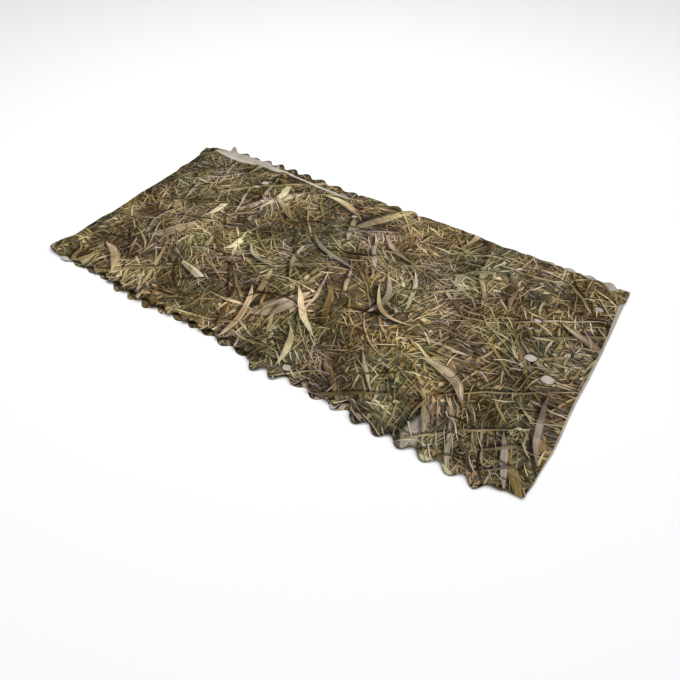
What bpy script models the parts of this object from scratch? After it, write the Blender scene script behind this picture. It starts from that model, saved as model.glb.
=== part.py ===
"""Camouflage net: one long cut of printed cloth, folded back and forth into three layers.

Metres, +Z up, +X along the pack from its folded end, +Y to its far edge.
"""

import math

import bmesh
import bpy
from mathutils import Vector
from mathutils.geometry import delaunay_2d_cdt

# Driving sizes of the folded pack and its cloth
PACK_LENGTH = 1.42
PACK_WIDTH = 0.71
CLOTH_THICKNESS = 0.0012
LAYER_STEP = 0.0028
UPPER_FOLD_RADIUS = 0.0035
LOWER_FOLD_RADIUS = LAYER_STEP / 2
UPPER_FOLD_RUN = 0.08
UNDER_SETBACK = 0.010

# Scallops along both long edges: their pitch, and where one has its tip
LOBE_PITCH = 0.0541
LOBE_STEPS = 6
NEAR_TIP_X = 0.6163
FAR_TIP_X = 0.6600
UNDER_TIP_X = 0.1448

# How finely the sheet is divided
END_STATIONS = 22
FOLD_STEPS = 6
EDGE_ROW_INSET = 0.024
EDGE_ROW_STEP = 0.036
FIELD_COLUMNS = 19
FIELD_ROWS = 5
EYE_POINTS = 12
WELD_DISTANCE = 0.00001
NEARNESS = 0.000001
TRIANGLES_INSIDE = 1

COLOUR = (0.165, 0.122, 0.066, 1.0)
ROUGHNESS = 0.85
METALLIC = 0.0

# Long edges of each layer, as rows of: place along the pack (0 at the folded end, 1 at the
# other), how far the middle of the scallops lies outside the pack's width, half their depth
TOP_NEAR = (
    (0.010, 0.0120, 0.0000),
    (0.017, 0.0165, 0.0000),
    (0.026, 0.0205, 0.0000),
    (0.050, 0.0235, 0.0000),
    (0.063, 0.0150, 0.0000),
    (0.078, 0.0180, -0.0020),
    (0.105, 0.0165, -0.0050),
    (0.160, 0.0150, -0.0060),
    (0.220, 0.0210, -0.0070),
    (0.290, 0.0255, -0.0065),
    (0.340, 0.0215, -0.0065),
    (0.400, 0.0180, -0.0060),
    (0.450, 0.0155, -0.0065),
    (0.500, 0.0145, -0.0075),
    (0.528, 0.0245, -0.0050),
    (0.550, 0.0425, 0.0105),
    (0.588, 0.0395, 0.0100),
    (0.612, 0.0290, 0.0070),
    (0.629, 0.0285, 0.0060),
    (0.637, 0.0125, 0.0010),
    (0.647, 0.0105, 0.0010),
    (0.655, 0.0320, 0.0010),
    (0.676, 0.0282, 0.0005),
    (0.689, 0.0298, 0.0010),
    (0.706, 0.0335, 0.0005),
    (0.713, 0.0110, 0.0010),
    (0.724, 0.0090, 0.0010),
    (0.732, 0.0360, 0.0080),
    (0.745, 0.0385, 0.0090),
    (0.800, 0.0395, 0.0095),
    (0.934, 0.0385, 0.0090),
    (0.953, 0.0240, 0.0010),
    (0.963, 0.0215, 0.0000),
    (0.974, 0.0158, 0.0000),
    (1.000, 0.0145, 0.0000),
)
TOP_FAR = (
    (-0.030, -0.0460, 0.0000),
    (-0.018, -0.0440, 0.0000),
    (-0.008, -0.0385, 0.0000),
    (0.000, -0.0365, 0.0000),
    (0.034, -0.0445, 0.0000),
    (0.065, -0.0515, 0.0000),
    (0.092, -0.0505, 0.0000),
    (0.118, -0.0440, 0.0000),
    (0.142, -0.0315, 0.0000),
    (0.168, -0.0330, 0.0000),
    (0.186, -0.0355, 0.0000),
    (0.200, -0.0335, 0.0000),
    (0.214, -0.0225, 0.0000),
    (0.234, -0.0285, 0.0000),
    (0.273, -0.0330, 0.0000),
    (0.323, -0.0395, 0.0000),
    (0.390, -0.0440, 0.0000),
    (0.402, -0.0410, 0.0000),
    (0.418, -0.0015, 0.0000),
    (0.445, 0.0020, 0.0000),
    (0.475, 0.0005, 0.0010),
    (0.492, 0.0005, 0.0070),
    (0.550, 0.0030, 0.0080),
    (0.575, 0.0005, 0.0010),
    (0.645, 0.0030, 0.0012),
    (0.690, 0.0015, 0.0010),
    (0.720, -0.0035, 0.0012),
    (0.745, -0.0080, 0.0015),
    (0.800, -0.0045, 0.0025),
    (0.840, -0.0055, 0.0015),
    (0.862, -0.0095, -0.0050),
    (0.935, -0.0115, -0.0045),
    (0.953, -0.0105, -0.0010),
    (0.960, -0.0220, 0.0000),
    (0.969, -0.0340, 0.0000),
    (0.977, -0.0240, 0.0000),
    (0.982, -0.0115, 0.0000),
    (1.000, -0.0105, 0.0000),
)
MIDDLE_NEAR = (
    (0.010, 0.0120, 0.0000),
    (0.017, 0.0165, 0.0000),
    (0.026, 0.0205, 0.0000),
    (0.040, 0.0205, 0.0000),
    (0.050, 0.0235, 0.0000),
    (0.060, 0.0300, 0.0000),
    (0.070, 0.0305, 0.0000),
    (0.082, 0.0225, 0.0000),
    (0.095, 0.0060, 0.0040),
    (0.120, -0.0025, 0.0060),
    (0.500, -0.0015, 0.0070),
    (0.580, 0.0145, 0.0070),
    (0.610, 0.0150, 0.0070),
    (0.632, -0.0050, 0.0020),
    (0.670, -0.0050, 0.0020),
    (0.690, 0.0140, 0.0040),
    (0.699, 0.0350, 0.0060),
    (0.707, 0.0365, 0.0050),
    (0.714, -0.0050, 0.0000),
    (0.726, -0.0050, 0.0000),
    (0.750, 0.0120, 0.0070),
    (0.920, 0.0185, 0.0080),
    (0.955, 0.0125, 0.0020),
    (0.990, 0.0070, 0.0000),
    (1.000, 0.0070, 0.0000),
)
MIDDLE_FAR = (
    (-0.030, -0.0460, 0.0000),
    (-0.018, -0.0440, 0.0000),
    (-0.005, -0.0290, 0.0000),
    (0.017, -0.0195, 0.0000),
    (0.039, -0.0025, 0.0000),
    (0.063, -0.0045, 0.0000),
    (0.091, 0.0000, 0.0000),
    (0.130, -0.0010, 0.0000),
    (0.153, 0.0060, 0.0000),
    (0.170, -0.0090, 0.0000),
    (0.200, -0.0130, 0.0000),
    (0.212, -0.0095, 0.0000),
    (0.224, -0.0145, 0.0000),
    (0.250, -0.0195, 0.0000),
    (0.294, -0.0235, 0.0000),
    (0.320, -0.0270, 0.0000),
    (0.395, -0.0320, 0.0000),
    (0.430, -0.0100, 0.0030),
    (0.830, -0.0090, 0.0040),
    (0.850, -0.0025, 0.0075),
    (0.889, -0.0010, 0.0078),
    (0.927, -0.0020, 0.0075),
    (0.965, -0.0015, 0.0072),
    (0.985, -0.0135, 0.0010),
    (0.992, -0.0145, 0.0000),
    (1.000, -0.0145, 0.0000),
)
UNDER_NEAR = (
    (-0.010, 0.0065, 0.0000),
    (0.040, 0.0105, 0.0020),
    (0.090, 0.0235, 0.0040),
    (0.145, 0.0205, 0.0045),
    (0.178, 0.0195, 0.0045),
    (0.205, 0.0260, 0.0080),
    (0.225, 0.0310, 0.0090),
    (0.300, 0.0335, 0.0090),
    (0.335, 0.0265, 0.0070),
    (0.375, 0.0225, 0.0060),
    (0.440, 0.0215, 0.0060),
    (0.480, 0.0255, 0.0070),
    (0.520, 0.0245, 0.0060),
    (0.628, 0.0280, 0.0060),
    (0.663, 0.0335, 0.0076),
    (0.740, 0.0325, 0.0080),
    (0.780, 0.0215, 0.0070),
    (0.920, 0.0175, 0.0070),
    (0.955, 0.0115, 0.0020),
    (0.990, 0.0070, 0.0000),
    (1.000, 0.0070, 0.0000),
)
UNDER_FAR = (
    (-0.030, -0.0250, 0.0000),
    (-0.005, -0.0105, 0.0000),
    (0.020, -0.0060, 0.0000),
    (0.040, -0.0010, 0.0010),
    (0.060, 0.0045, 0.0040),
    (0.078, 0.0095, 0.0060),
    (0.110, 0.0060, 0.0045),
    (0.145, 0.0100, 0.0075),
    (0.180, 0.0110, 0.0090),
    (0.225, 0.0105, 0.0085),
    (0.265, 0.0100, 0.0080),
    (0.300, 0.0090, 0.0075),
    (0.350, 0.0055, 0.0075),
    (0.395, 0.0040, 0.0060),
    (0.425, -0.0060, 0.0040),
    (0.920, -0.0130, 0.0040),
    (0.960, -0.0150, 0.0010),
    (0.992, -0.0145, 0.0000),
    (1.000, -0.0145, 0.0000),
)

# How far the scallops of a long edge have slipped along it, where the cloth is drawn or
# gathered, as rows of: place along, slip
TOP_NEAR_SLIP = (
    (0.100, 0.004),
    (0.180, -0.002),
    (0.225, 0.009),
    (0.300, 0.011),
    (0.375, 0.007),
    (0.450, 0.006),
    (0.500, 0.007),
    (0.545, 0.000),
)
UNDER_NEAR_SLIP = (
    (0.100, 0.009),
    (0.145, 0.008),
    (0.178, 0.000),
    (0.222, 0.014),
    (0.300, 0.017),
    (0.375, 0.011),
    (0.440, -0.005),
    (0.480, -0.004),
    (0.520, 0.000),
)
UNDER_FAR_SLIP = (
    (0.080, 0.010),
    (0.145, 0.001),
    (0.180, 0.001),
    (0.260, 0.004),
    (0.300, 0.010),
    (0.350, 0.022),
    (0.395, 0.036),
)
NO_SLIP = ((0.000, 0.000),)

# Ends, as rows of: place across the pack (0 at the far edge, 1 at the near edge), offset in x
FOLDED_END = (
    (0.020, -0.0400),
    (0.062, -0.0335),
    (0.100, -0.0265),
    (0.150, -0.0132),
    (0.185, -0.0088),
    (0.230, -0.0045),
    (0.270, -0.0072),
    (0.315, 0.0020),
    (0.365, 0.0040),
    (0.450, 0.0080),
    (0.545, 0.0088),
    (0.590, 0.0135),
    (0.640, 0.0180),
    (0.720, 0.0225),
    (0.765, 0.0190),
    (0.830, 0.0225),
    (0.915, 0.0285),
    (0.972, 0.0158),
    (1.005, 0.0130),
    (1.022, 0.0185),
)
OTHER_END = (
    (0.000, -0.0020),
    (0.100, 0.0010),
    (0.300, 0.0032),
    (0.400, 0.0042),
    (0.500, 0.0038),
    (0.640, 0.0020),
    (0.820, 0.0045),
    (0.950, -0.0010),
    (1.010, -0.0055),
)
TOP_CUT_BACK = (
    (0.000, -0.0030),
    (0.088, -0.0015),
    (0.102, 0.0115),
    (0.200, 0.0085),
    (0.300, 0.0052),
    (0.500, 0.0050),
    (0.780, 0.0042),
    (0.850, 0.0026),
    (0.920, 0.0022),
    (1.010, 0.0010),
)

# Die-cut openings of the top layer that stand open, as rows of: place along, place across,
# length, width, turn in degrees
OPEN_EYES = (
    (0.911, 0.528, 0.033, 0.026, 32.0),
    (0.950, 0.588, 0.035, 0.029, 32.0),
    (0.889, 0.346, 0.026, 0.017, -3.0),
    (0.967, 0.169, 0.027, 0.020, -9.0),
    (0.950, 0.133, 0.023, 0.014, -10.0),
    (0.451, 0.159, 0.025, 0.018, 18.0),
    (0.206, 0.155, 0.027, 0.025, -24.0),
    (0.200, 0.201, 0.024, 0.016, 0.0),
    (0.249, 0.279, 0.021, 0.014, 0.0),
    (0.599, 1.003, 0.027, 0.021, -25.0),
)

# Soft swells of the top layer, as rows of: place along, place across, radius in x,
# radius in y, height
SWELLS = (
    (0.060, 0.300, 0.080, 0.120, 0.0022),
    (0.110, 0.820, 0.100, 0.090, 0.0018),
    (0.300, 0.480, 0.150, 0.130, 0.0012),
    (0.270, 0.980, 0.080, 0.050, 0.0026),
    (0.520, 0.120, 0.110, 0.090, 0.0022),
    (0.560, 0.960, 0.070, 0.060, 0.0024),
    (0.640, 0.560, 0.170, 0.110, 0.0010),
    (0.860, 0.250, 0.120, 0.110, 0.0016),
    (0.930, 0.860, 0.080, 0.100, 0.0018),
)

# Scallops of the under layer that curl up along the far edge, as rows of: place along,
# share of the full curl
CURL = (
    (0.050, 0.0),
    (0.090, 0.8),
    (0.180, 1.0),
    (0.300, 0.6),
    (0.400, 0.0),
)
CURL_HINGE = 0.004
CURL_RATE = 14.0

# The flap of the middle layer that stands up beside the fold: its root along the pack, its
# outline from that root, walked from right to left, and how steeply it rises
FLAP_AT = 0.045
FLAP_OUTLINE = (
    (0.019, 0.0000),
    (0.010, 0.0028),
    (0.005, 0.0066),
    (0.001, 0.0100),
    (-0.005, 0.0124),
    (-0.010, 0.0126),
    (-0.014, 0.0102),
    (-0.016, 0.0056),
    (-0.017, 0.0000),
)
FLAP_RISE = 0.9
FLAP_LEFT = -0.018
FLAP_RIGHT = 0.020

UNDER_LEVEL = CLOTH_THICKNESS / 2
MIDDLE_LEVEL = UNDER_LEVEL + LAYER_STEP
TOP_LEVEL = MIDDLE_LEVEL + LAYER_STEP
HALF_LENGTH = PACK_LENGTH / 2
HALF_WIDTH = PACK_WIDTH / 2

# Each layer's near and far edge: its table, the x of one scallop's tip and how they have slipped
EDGES = {
    "top": ((TOP_NEAR, NEAR_TIP_X, TOP_NEAR_SLIP), (TOP_FAR, FAR_TIP_X, NO_SLIP)),
    "middle": ((MIDDLE_NEAR, NEAR_TIP_X, NO_SLIP), (MIDDLE_FAR, FAR_TIP_X, NO_SLIP)),
    "under": ((UNDER_NEAR, NEAR_TIP_X, UNDER_NEAR_SLIP), (UNDER_FAR, UNDER_TIP_X, UNDER_FAR_SLIP)),
}


def clear_scene():
    for item in list(bpy.data.objects):
        bpy.data.objects.remove(item, do_unlink=True)


def eased(part):
    part = min(max(part, 0.0), 1.0)
    return part * part * (3.0 - 2.0 * part)


def read_table(table, place):
    """The values of a table at a place, eased between its rows."""
    if place <= table[0][0]:
        return table[0][1:]
    for low, high in zip(table, table[1:]):
        if place <= high[0]:
            share = eased((place - low[0]) / (high[0] - low[0]))
            return tuple(a + (b - a) * share for a, b in zip(low[1:], high[1:]))
    return table[-1][1:]


def place_along(x):
    return (x + HALF_LENGTH) / PACK_LENGTH


def place_across(y):
    return (HALF_WIDTH - y) / PACK_WIDTH


def edge_y(layer, side, x):
    """Height in y of a layer's near (side -1) or far (side 1) edge."""
    table, tip_x, slips = EDGES[layer][0 if side < 0 else 1]
    reach, swing = read_table(table, place_along(x))
    tip_x += read_table(slips, place_along(x))[0]
    turn = 2.0 * math.pi * (x - tip_x) / LOBE_PITCH
    wave = math.cos(turn) - 0.12 * math.cos(2.0 * turn)
    return side * (HALF_WIDTH + reach + swing * wave)


def left_end_x(layer, y):
    folded = -HALF_LENGTH + read_table(FOLDED_END, place_across(y))[0]
    if layer == "under":
        return folded + UNDER_SETBACK
    return folded + UPPER_FOLD_RADIUS


def right_end_x(layer, y):
    folded = HALF_LENGTH + read_table(OTHER_END, place_across(y))[0]
    if layer == "top":
        return folded - read_table(TOP_CUT_BACK, place_across(y))[0]
    return folded - LOWER_FOLD_RADIUS


def corner(layer, side, end_x):
    """Where a long edge meets an end, found by going from one to the other."""
    y = side * HALF_WIDTH
    for _ in range(12):
        x = end_x(layer, y)
        y = edge_y(layer, side, x)
    return x, y


def long_edge(layer, side, steps_per_lobe):
    """Points of a long edge, from its left corner to its right corner."""
    x_low, y_low = corner(layer, side, left_end_x)
    x_high, y_high = corner(layer, side, right_end_x)
    count = round((x_high - x_low) / LOBE_PITCH * steps_per_lobe)
    points = [(x_low, y_low)]
    for i in range(1, count):
        x = x_low + (x_high - x_low) * i / count
        points.append((x, edge_y(layer, side, x)))
    points.append((x_high, y_high))
    return points


def end_line(layer, end_x):
    """Points of an end, from its near corner to its far corner."""
    y_low = corner(layer, -1, end_x)[1]
    y_high = corner(layer, 1, end_x)[1]
    points = []
    for i in range(END_STATIONS + 1):
        y = y_low + (y_high - y_low) * i / END_STATIONS
        points.append((end_x(layer, y), y))
    return points


def add_flap(far_edge):
    """The far edge with the standing flap's outline in place of the stretch at its root."""
    root_x = FLAP_AT * PACK_LENGTH - HALF_LENGTH
    root_y = edge_y("middle", 1, root_x)
    flap = [(root_x + dx, root_y + dy) for dx, dy in reversed(FLAP_OUTLINE)]
    before = [p for p in far_edge if p[0] < flap[0][0]]
    after = [p for p in far_edge if p[0] > flap[-1][0]]
    return before + flap + after


def eye_centre(row):
    return row[0] * PACK_LENGTH - HALF_LENGTH, HALF_WIDTH - row[1] * PACK_WIDTH


def eye_outline(row):
    """A pointed opening between two equal arcs."""
    length, width, turn = row[2:]
    centre_x, centre_y = eye_centre(row)
    angle = math.radians(turn)
    points = []
    for i in range(EYE_POINTS):
        phase = 2.0 * math.pi * i / EYE_POINTS
        u = math.cos(phase) * length / 2
        v = math.copysign(1.0 - math.cos(phase) ** 2, math.sin(phase)) * width / 2
        x = centre_x + u * math.cos(angle) - v * math.sin(angle)
        y = centre_y + u * math.sin(angle) + v * math.cos(angle)
        points.append((x, y))
    return points


def clear_of_eyes(point):
    return all(math.dist(point, eye_centre(row)) > row[2] * 0.6 for row in OPEN_EYES)


def inner_points(layer):
    """Points inside a layer: a row along each long edge and, on top, an even field."""
    points = []
    count = round(PACK_LENGTH / EDGE_ROW_STEP)
    for side in (-1, 1):
        table = EDGES[layer][0 if side < 0 else 1][0]
        for i in range(1, count):
            x = -HALF_LENGTH + PACK_LENGTH * i / count
            reach, swing = read_table(table, place_along(x))
            inset = EDGE_ROW_INSET + swing
            points.append((x, side * (HALF_WIDTH + reach - inset)))
    if layer == "top":
        for i in range(FIELD_COLUMNS):
            for j in range(FIELD_ROWS):
                x = -HALF_LENGTH + PACK_LENGTH * (i + 0.5) / FIELD_COLUMNS
                y = (HALF_WIDTH - 2 * EDGE_ROW_INSET) * (2.0 * (j + 0.5) / FIELD_ROWS - 1.0)
                points.append((x, y))
        points = [p for p in points if clear_of_eyes(p)]
    return points


def height(layer, x, y):
    """Level of the middle of a layer's cloth."""
    if layer == "under":
        curl = read_table(CURL, place_along(x))[0]
        beyond = max(0.0, y - HALF_WIDTH - CURL_HINGE)
        return UNDER_LEVEL + curl * CURL_RATE * beyond * beyond
    if layer == "middle":
        root_x = FLAP_AT * PACK_LENGTH - HALF_LENGTH
        on_flap = FLAP_LEFT <= x - root_x <= FLAP_RIGHT
        beyond = max(0.0, y - edge_y("middle", 1, root_x))
        return MIDDLE_LEVEL + (FLAP_RISE * beyond if on_flap else 0.0)
    level = TOP_LEVEL
    from_fold = x - left_end_x(layer, y)
    level += (2 * UPPER_FOLD_RADIUS - LAYER_STEP) * (1.0 - eased(from_fold / UPPER_FOLD_RUN))
    for along, across, radius_x, radius_y, rise in SWELLS:
        dx = (x + HALF_LENGTH - along * PACK_LENGTH) / radius_x
        dy = (y - HALF_WIDTH + across * PACK_WIDTH) / radius_y
        level += rise * math.exp(-dx * dx - dy * dy) * eased(from_fold / UPPER_FOLD_RUN)
    return level


def ring_edges(start, count):
    return [(start + i, start + (i + 1) % count) for i in range(count)]


def add_layer(sheet, layer, loose_ends):
    """Fill one layer's outline with triangles and lay them at the layer's height."""
    near = long_edge(layer, -1, LOBE_STEPS)
    far = long_edge(layer, 1, LOBE_STEPS)
    if layer == "middle":
        far = add_flap(far)
    left = end_line(layer, left_end_x)
    right = end_line(layer, right_end_x)
    outline = near[:-1] + right[:-1] + far[:0:-1] + left[:0:-1]
    points = list(outline)
    edges = ring_edges(0, len(outline))
    eye_of_point = {}
    if layer == "top":
        for number, row in enumerate(OPEN_EYES):
            first = len(points)
            points += eye_outline(row)
            edges += ring_edges(first, EYE_POINTS)
            eye_of_point.update({i: number for i in range(first, len(points))})
    points += inner_points(layer)
    flat = [Vector(p) for p in points]
    found, _, faces, sources, _, _ = delaunay_2d_cdt(flat, edges, [], TRIANGLES_INSIDE, NEARNESS)
    verts = [sheet.verts.new((p.x, p.y, height(layer, p.x, p.y))) for p in found]
    for face in faces:
        eyes = {eye_of_point.get(sources[i][0]) for i in face}
        if len(eyes) > 1 or None in eyes:
            sheet.faces.new([verts[i] for i in face])
    loose_ends[layer] = (left, right)


def add_fold(sheet, line, low_level, radius, direction):
    """A half-round fold between two layers, along the line of their ends."""
    rows = []
    for x, y in line:
        row = []
        for i in range(FOLD_STEPS + 1):
            angle = math.pi * i / FOLD_STEPS
            z = low_level + radius * (1.0 - math.cos(angle))
            row.append(sheet.verts.new((x + direction * radius * math.sin(angle), y, z)))
        rows.append(row)
    for row, after in zip(rows, rows[1:]):
        for i in range(FOLD_STEPS):
            sheet.faces.new((row[i], row[i + 1], after[i + 1], after[i]))


def centre_on_origin(sheet):
    """Put the middle of the pack's box over the origin, in x and y."""
    for axis in (0, 1):
        values = [v.co[axis] for v in sheet.verts]
        middle = (min(values) + max(values)) / 2
        for v in sheet.verts:
            v.co[axis] -= middle


def cloth_material():
    material = bpy.data.materials.new("printed_cloth")
    material.use_nodes = True
    shader = material.node_tree.nodes["Principled BSDF"]
    shader.inputs["Base Color"].default_value = COLOUR
    shader.inputs["Roughness"].default_value = ROUGHNESS
    shader.inputs["Metallic"].default_value = METALLIC
    return material


def make_net():
    sheet = bmesh.new()
    ends = {}
    for layer in ("top", "middle", "under"):
        add_layer(sheet, layer, ends)
    add_fold(sheet, ends["middle"][0], MIDDLE_LEVEL, UPPER_FOLD_RADIUS, -1)
    add_fold(sheet, ends["under"][1], UNDER_LEVEL, LOWER_FOLD_RADIUS, 1)
    bmesh.ops.remove_doubles(sheet, verts=sheet.verts, dist=WELD_DISTANCE)
    bmesh.ops.recalc_face_normals(sheet, faces=sheet.faces)
    centre_on_origin(sheet)
    mesh = bpy.data.meshes.new("net_cloth")
    sheet.to_mesh(mesh)
    sheet.free()
    net = bpy.data.objects.new("net_cloth", mesh)
    bpy.context.scene.collection.objects.link(net)
    mesh.materials.append(cloth_material())
    solid = net.modifiers.new("Thickness", 'SOLIDIFY')
    solid.thickness = CLOTH_THICKNESS
    solid.offset = 0.0
    solid.use_even_offset = True
    solid.use_quality_normals = True
    return net


clear_scene()
make_net()
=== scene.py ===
"""Looks of a folded camouflage net, laid out as a Blender add-on and run as a script."""

import math
from typing import NamedTuple

import bmesh
import bpy
from bpy.props import FloatProperty, FloatVectorProperty, PointerProperty
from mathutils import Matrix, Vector, noise
from mathutils.geometry import delaunay_2d_cdt


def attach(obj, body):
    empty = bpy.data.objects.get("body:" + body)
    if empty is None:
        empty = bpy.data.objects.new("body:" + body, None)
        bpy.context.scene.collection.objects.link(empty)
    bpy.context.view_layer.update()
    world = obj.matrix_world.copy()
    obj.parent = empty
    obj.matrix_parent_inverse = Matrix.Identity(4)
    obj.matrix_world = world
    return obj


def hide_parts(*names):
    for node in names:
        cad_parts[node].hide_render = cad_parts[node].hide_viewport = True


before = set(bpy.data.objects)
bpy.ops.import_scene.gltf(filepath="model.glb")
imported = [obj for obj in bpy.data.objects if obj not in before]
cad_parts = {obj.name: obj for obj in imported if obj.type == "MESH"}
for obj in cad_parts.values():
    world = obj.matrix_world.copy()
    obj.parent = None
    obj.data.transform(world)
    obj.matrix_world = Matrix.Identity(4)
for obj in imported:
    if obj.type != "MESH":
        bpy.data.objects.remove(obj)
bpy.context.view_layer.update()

bl_info = {
    "name": "Folded Camouflage Net",
    "version": (1, 0, 0),
    "blender": (4, 5, 0),
    "location": "View3D > Sidebar > Net",
    "description": "Models a die-cut camouflage cloth folded into a flat pack of three layers",
    "category": "Add Mesh",
}

# ---------------------------------------------------------------------------
# Sizes of the pack, in metres, in the order in which the cloth was folded
# ---------------------------------------------------------------------------

PACK_LENGTH = 1.42
PACK_WIDTH = 0.71
HALF_LENGTH = PACK_LENGTH / 2
HALF_WIDTH = PACK_WIDTH / 2
PACK_SHIFT = (0.0145, 0.0161)
LAYER_STEP = 0.0028
LAYER_FLOOR = 0.0006
UPPER_FOLD_RADIUS = 0.0035
LOWER_FOLD_RADIUS = LAYER_STEP / 2
UPPER_FOLD_RUN = 0.08
UNDER_SETBACK = 0.010

# Scallops: their pitch, how much flatter their tips are than a plain wave, and where one tip
# lies on each edge
LOBE_PITCH = 0.0541
LOBE_FLATNESS = 0.12
NEAR_TIP_X = 0.6163
FAR_TIP_X = 0.6600
UNDER_TIP_X = 0.1448

# Long edges of each layer, as rows of: place along the pack (0 at the folded end, 1 at the
# other), how far the middle of the scallops lies outside the pack's width, half their depth
TOP_NEAR = (
    (0.010, 0.0120, 0.0000),
    (0.017, 0.0165, 0.0000),
    (0.026, 0.0205, 0.0000),
    (0.050, 0.0235, 0.0000),
    (0.063, 0.0150, 0.0000),
    (0.078, 0.0180, -0.0020),
    (0.105, 0.0165, -0.0050),
    (0.160, 0.0150, -0.0060),
    (0.220, 0.0210, -0.0070),
    (0.290, 0.0255, -0.0065),
    (0.340, 0.0215, -0.0065),
    (0.400, 0.0180, -0.0060),
    (0.450, 0.0155, -0.0065),
    (0.500, 0.0145, -0.0075),
    (0.528, 0.0245, -0.0050),
    (0.550, 0.0425, 0.0105),
    (0.588, 0.0395, 0.0100),
    (0.612, 0.0290, 0.0070),
    (0.629, 0.0285, 0.0060),
    (0.637, 0.0125, 0.0010),
    (0.647, 0.0105, 0.0010),
    (0.655, 0.0320, 0.0010),
    (0.676, 0.0282, 0.0005),
    (0.689, 0.0298, 0.0010),
    (0.706, 0.0335, 0.0005),
    (0.713, 0.0110, 0.0010),
    (0.724, 0.0090, 0.0010),
    (0.732, 0.0360, 0.0080),
    (0.745, 0.0385, 0.0090),
    (0.800, 0.0395, 0.0095),
    (0.934, 0.0385, 0.0090),
    (0.953, 0.0240, 0.0010),
    (0.963, 0.0215, 0.0000),
    (0.974, 0.0158, 0.0000),
    (1.000, 0.0145, 0.0000),
)
TOP_FAR = (
    (-0.030, -0.0460, 0.0000),
    (-0.018, -0.0440, 0.0000),
    (-0.008, -0.0385, 0.0000),
    (0.000, -0.0365, 0.0000),
    (0.034, -0.0445, 0.0000),
    (0.065, -0.0515, 0.0000),
    (0.092, -0.0505, 0.0000),
    (0.118, -0.0440, 0.0000),
    (0.142, -0.0315, 0.0000),
    (0.168, -0.0330, 0.0000),
    (0.186, -0.0355, 0.0000),
    (0.200, -0.0335, 0.0000),
    (0.214, -0.0225, 0.0000),
    (0.234, -0.0285, 0.0000),
    (0.273, -0.0330, 0.0000),
    (0.323, -0.0395, 0.0000),
    (0.390, -0.0440, 0.0000),
    (0.402, -0.0410, 0.0000),
    (0.418, -0.0015, 0.0000),
    (0.445, 0.0020, 0.0000),
    (0.475, 0.0005, 0.0010),
    (0.492, 0.0005, 0.0070),
    (0.550, 0.0030, 0.0080),
    (0.575, 0.0005, 0.0010),
    (0.645, 0.0030, 0.0012),
    (0.690, 0.0015, 0.0010),
    (0.720, -0.0035, 0.0012),
    (0.745, -0.0080, 0.0015),
    (0.800, -0.0045, 0.0025),
    (0.840, -0.0055, 0.0015),
    (0.862, -0.0095, -0.0050),
    (0.935, -0.0115, -0.0045),
    (0.953, -0.0105, -0.0010),
    (0.960, -0.0220, 0.0000),
    (0.969, -0.0340, 0.0000),
    (0.977, -0.0240, 0.0000),
    (0.982, -0.0115, 0.0000),
    (1.000, -0.0105, 0.0000),
)
MIDDLE_NEAR = (
    (0.010, 0.0120, 0.0000),
    (0.017, 0.0165, 0.0000),
    (0.026, 0.0205, 0.0000),
    (0.040, 0.0205, 0.0000),
    (0.050, 0.0235, 0.0000),
    (0.060, 0.0300, 0.0000),
    (0.070, 0.0305, 0.0000),
    (0.082, 0.0225, 0.0000),
    (0.095, 0.0060, 0.0040),
    (0.120, -0.0025, 0.0060),
    (0.500, -0.0015, 0.0070),
    (0.580, 0.0145, 0.0070),
    (0.610, 0.0150, 0.0070),
    (0.632, -0.0050, 0.0020),
    (0.670, -0.0050, 0.0020),
    (0.690, 0.0140, 0.0040),
    (0.699, 0.0350, 0.0060),
    (0.707, 0.0365, 0.0050),
    (0.714, -0.0050, 0.0000),
    (0.726, -0.0050, 0.0000),
    (0.750, 0.0120, 0.0070),
    (0.920, 0.0185, 0.0080),
    (0.955, 0.0125, 0.0020),
    (0.990, 0.0070, 0.0000),
    (1.000, 0.0070, 0.0000),
)
MIDDLE_FAR = (
    (-0.030, -0.0460, 0.0000),
    (-0.018, -0.0440, 0.0000),
    (-0.005, -0.0290, 0.0000),
    (0.017, -0.0195, 0.0000),
    (0.039, -0.0025, 0.0000),
    (0.063, -0.0045, 0.0000),
    (0.091, 0.0000, 0.0000),
    (0.130, -0.0010, 0.0000),
    (0.153, 0.0060, 0.0000),
    (0.170, -0.0090, 0.0000),
    (0.200, -0.0130, 0.0000),
    (0.212, -0.0095, 0.0000),
    (0.224, -0.0145, 0.0000),
    (0.250, -0.0195, 0.0000),
    (0.294, -0.0235, 0.0000),
    (0.320, -0.0270, 0.0000),
    (0.395, -0.0320, 0.0000),
    (0.430, -0.0100, 0.0030),
    (0.830, -0.0090, 0.0040),
    (0.850, -0.0025, 0.0075),
    (0.889, -0.0010, 0.0078),
    (0.927, -0.0020, 0.0075),
    (0.965, -0.0015, 0.0072),
    (0.985, -0.0135, 0.0010),
    (0.992, -0.0145, 0.0000),
    (1.000, -0.0145, 0.0000),
)
UNDER_NEAR = (
    (-0.010, 0.0065, 0.0000),
    (0.040, 0.0105, 0.0020),
    (0.090, 0.0235, 0.0040),
    (0.145, 0.0205, 0.0045),
    (0.178, 0.0195, 0.0045),
    (0.205, 0.0260, 0.0080),
    (0.225, 0.0310, 0.0090),
    (0.300, 0.0335, 0.0090),
    (0.335, 0.0265, 0.0070),
    (0.375, 0.0225, 0.0060),
    (0.440, 0.0215, 0.0060),
    (0.480, 0.0255, 0.0070),
    (0.520, 0.0245, 0.0060),
    (0.628, 0.0280, 0.0060),
    (0.663, 0.0335, 0.0076),
    (0.740, 0.0325, 0.0080),
    (0.780, 0.0215, 0.0070),
    (0.920, 0.0175, 0.0070),
    (0.955, 0.0115, 0.0020),
    (0.990, 0.0070, 0.0000),
    (1.000, 0.0070, 0.0000),
)
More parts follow.
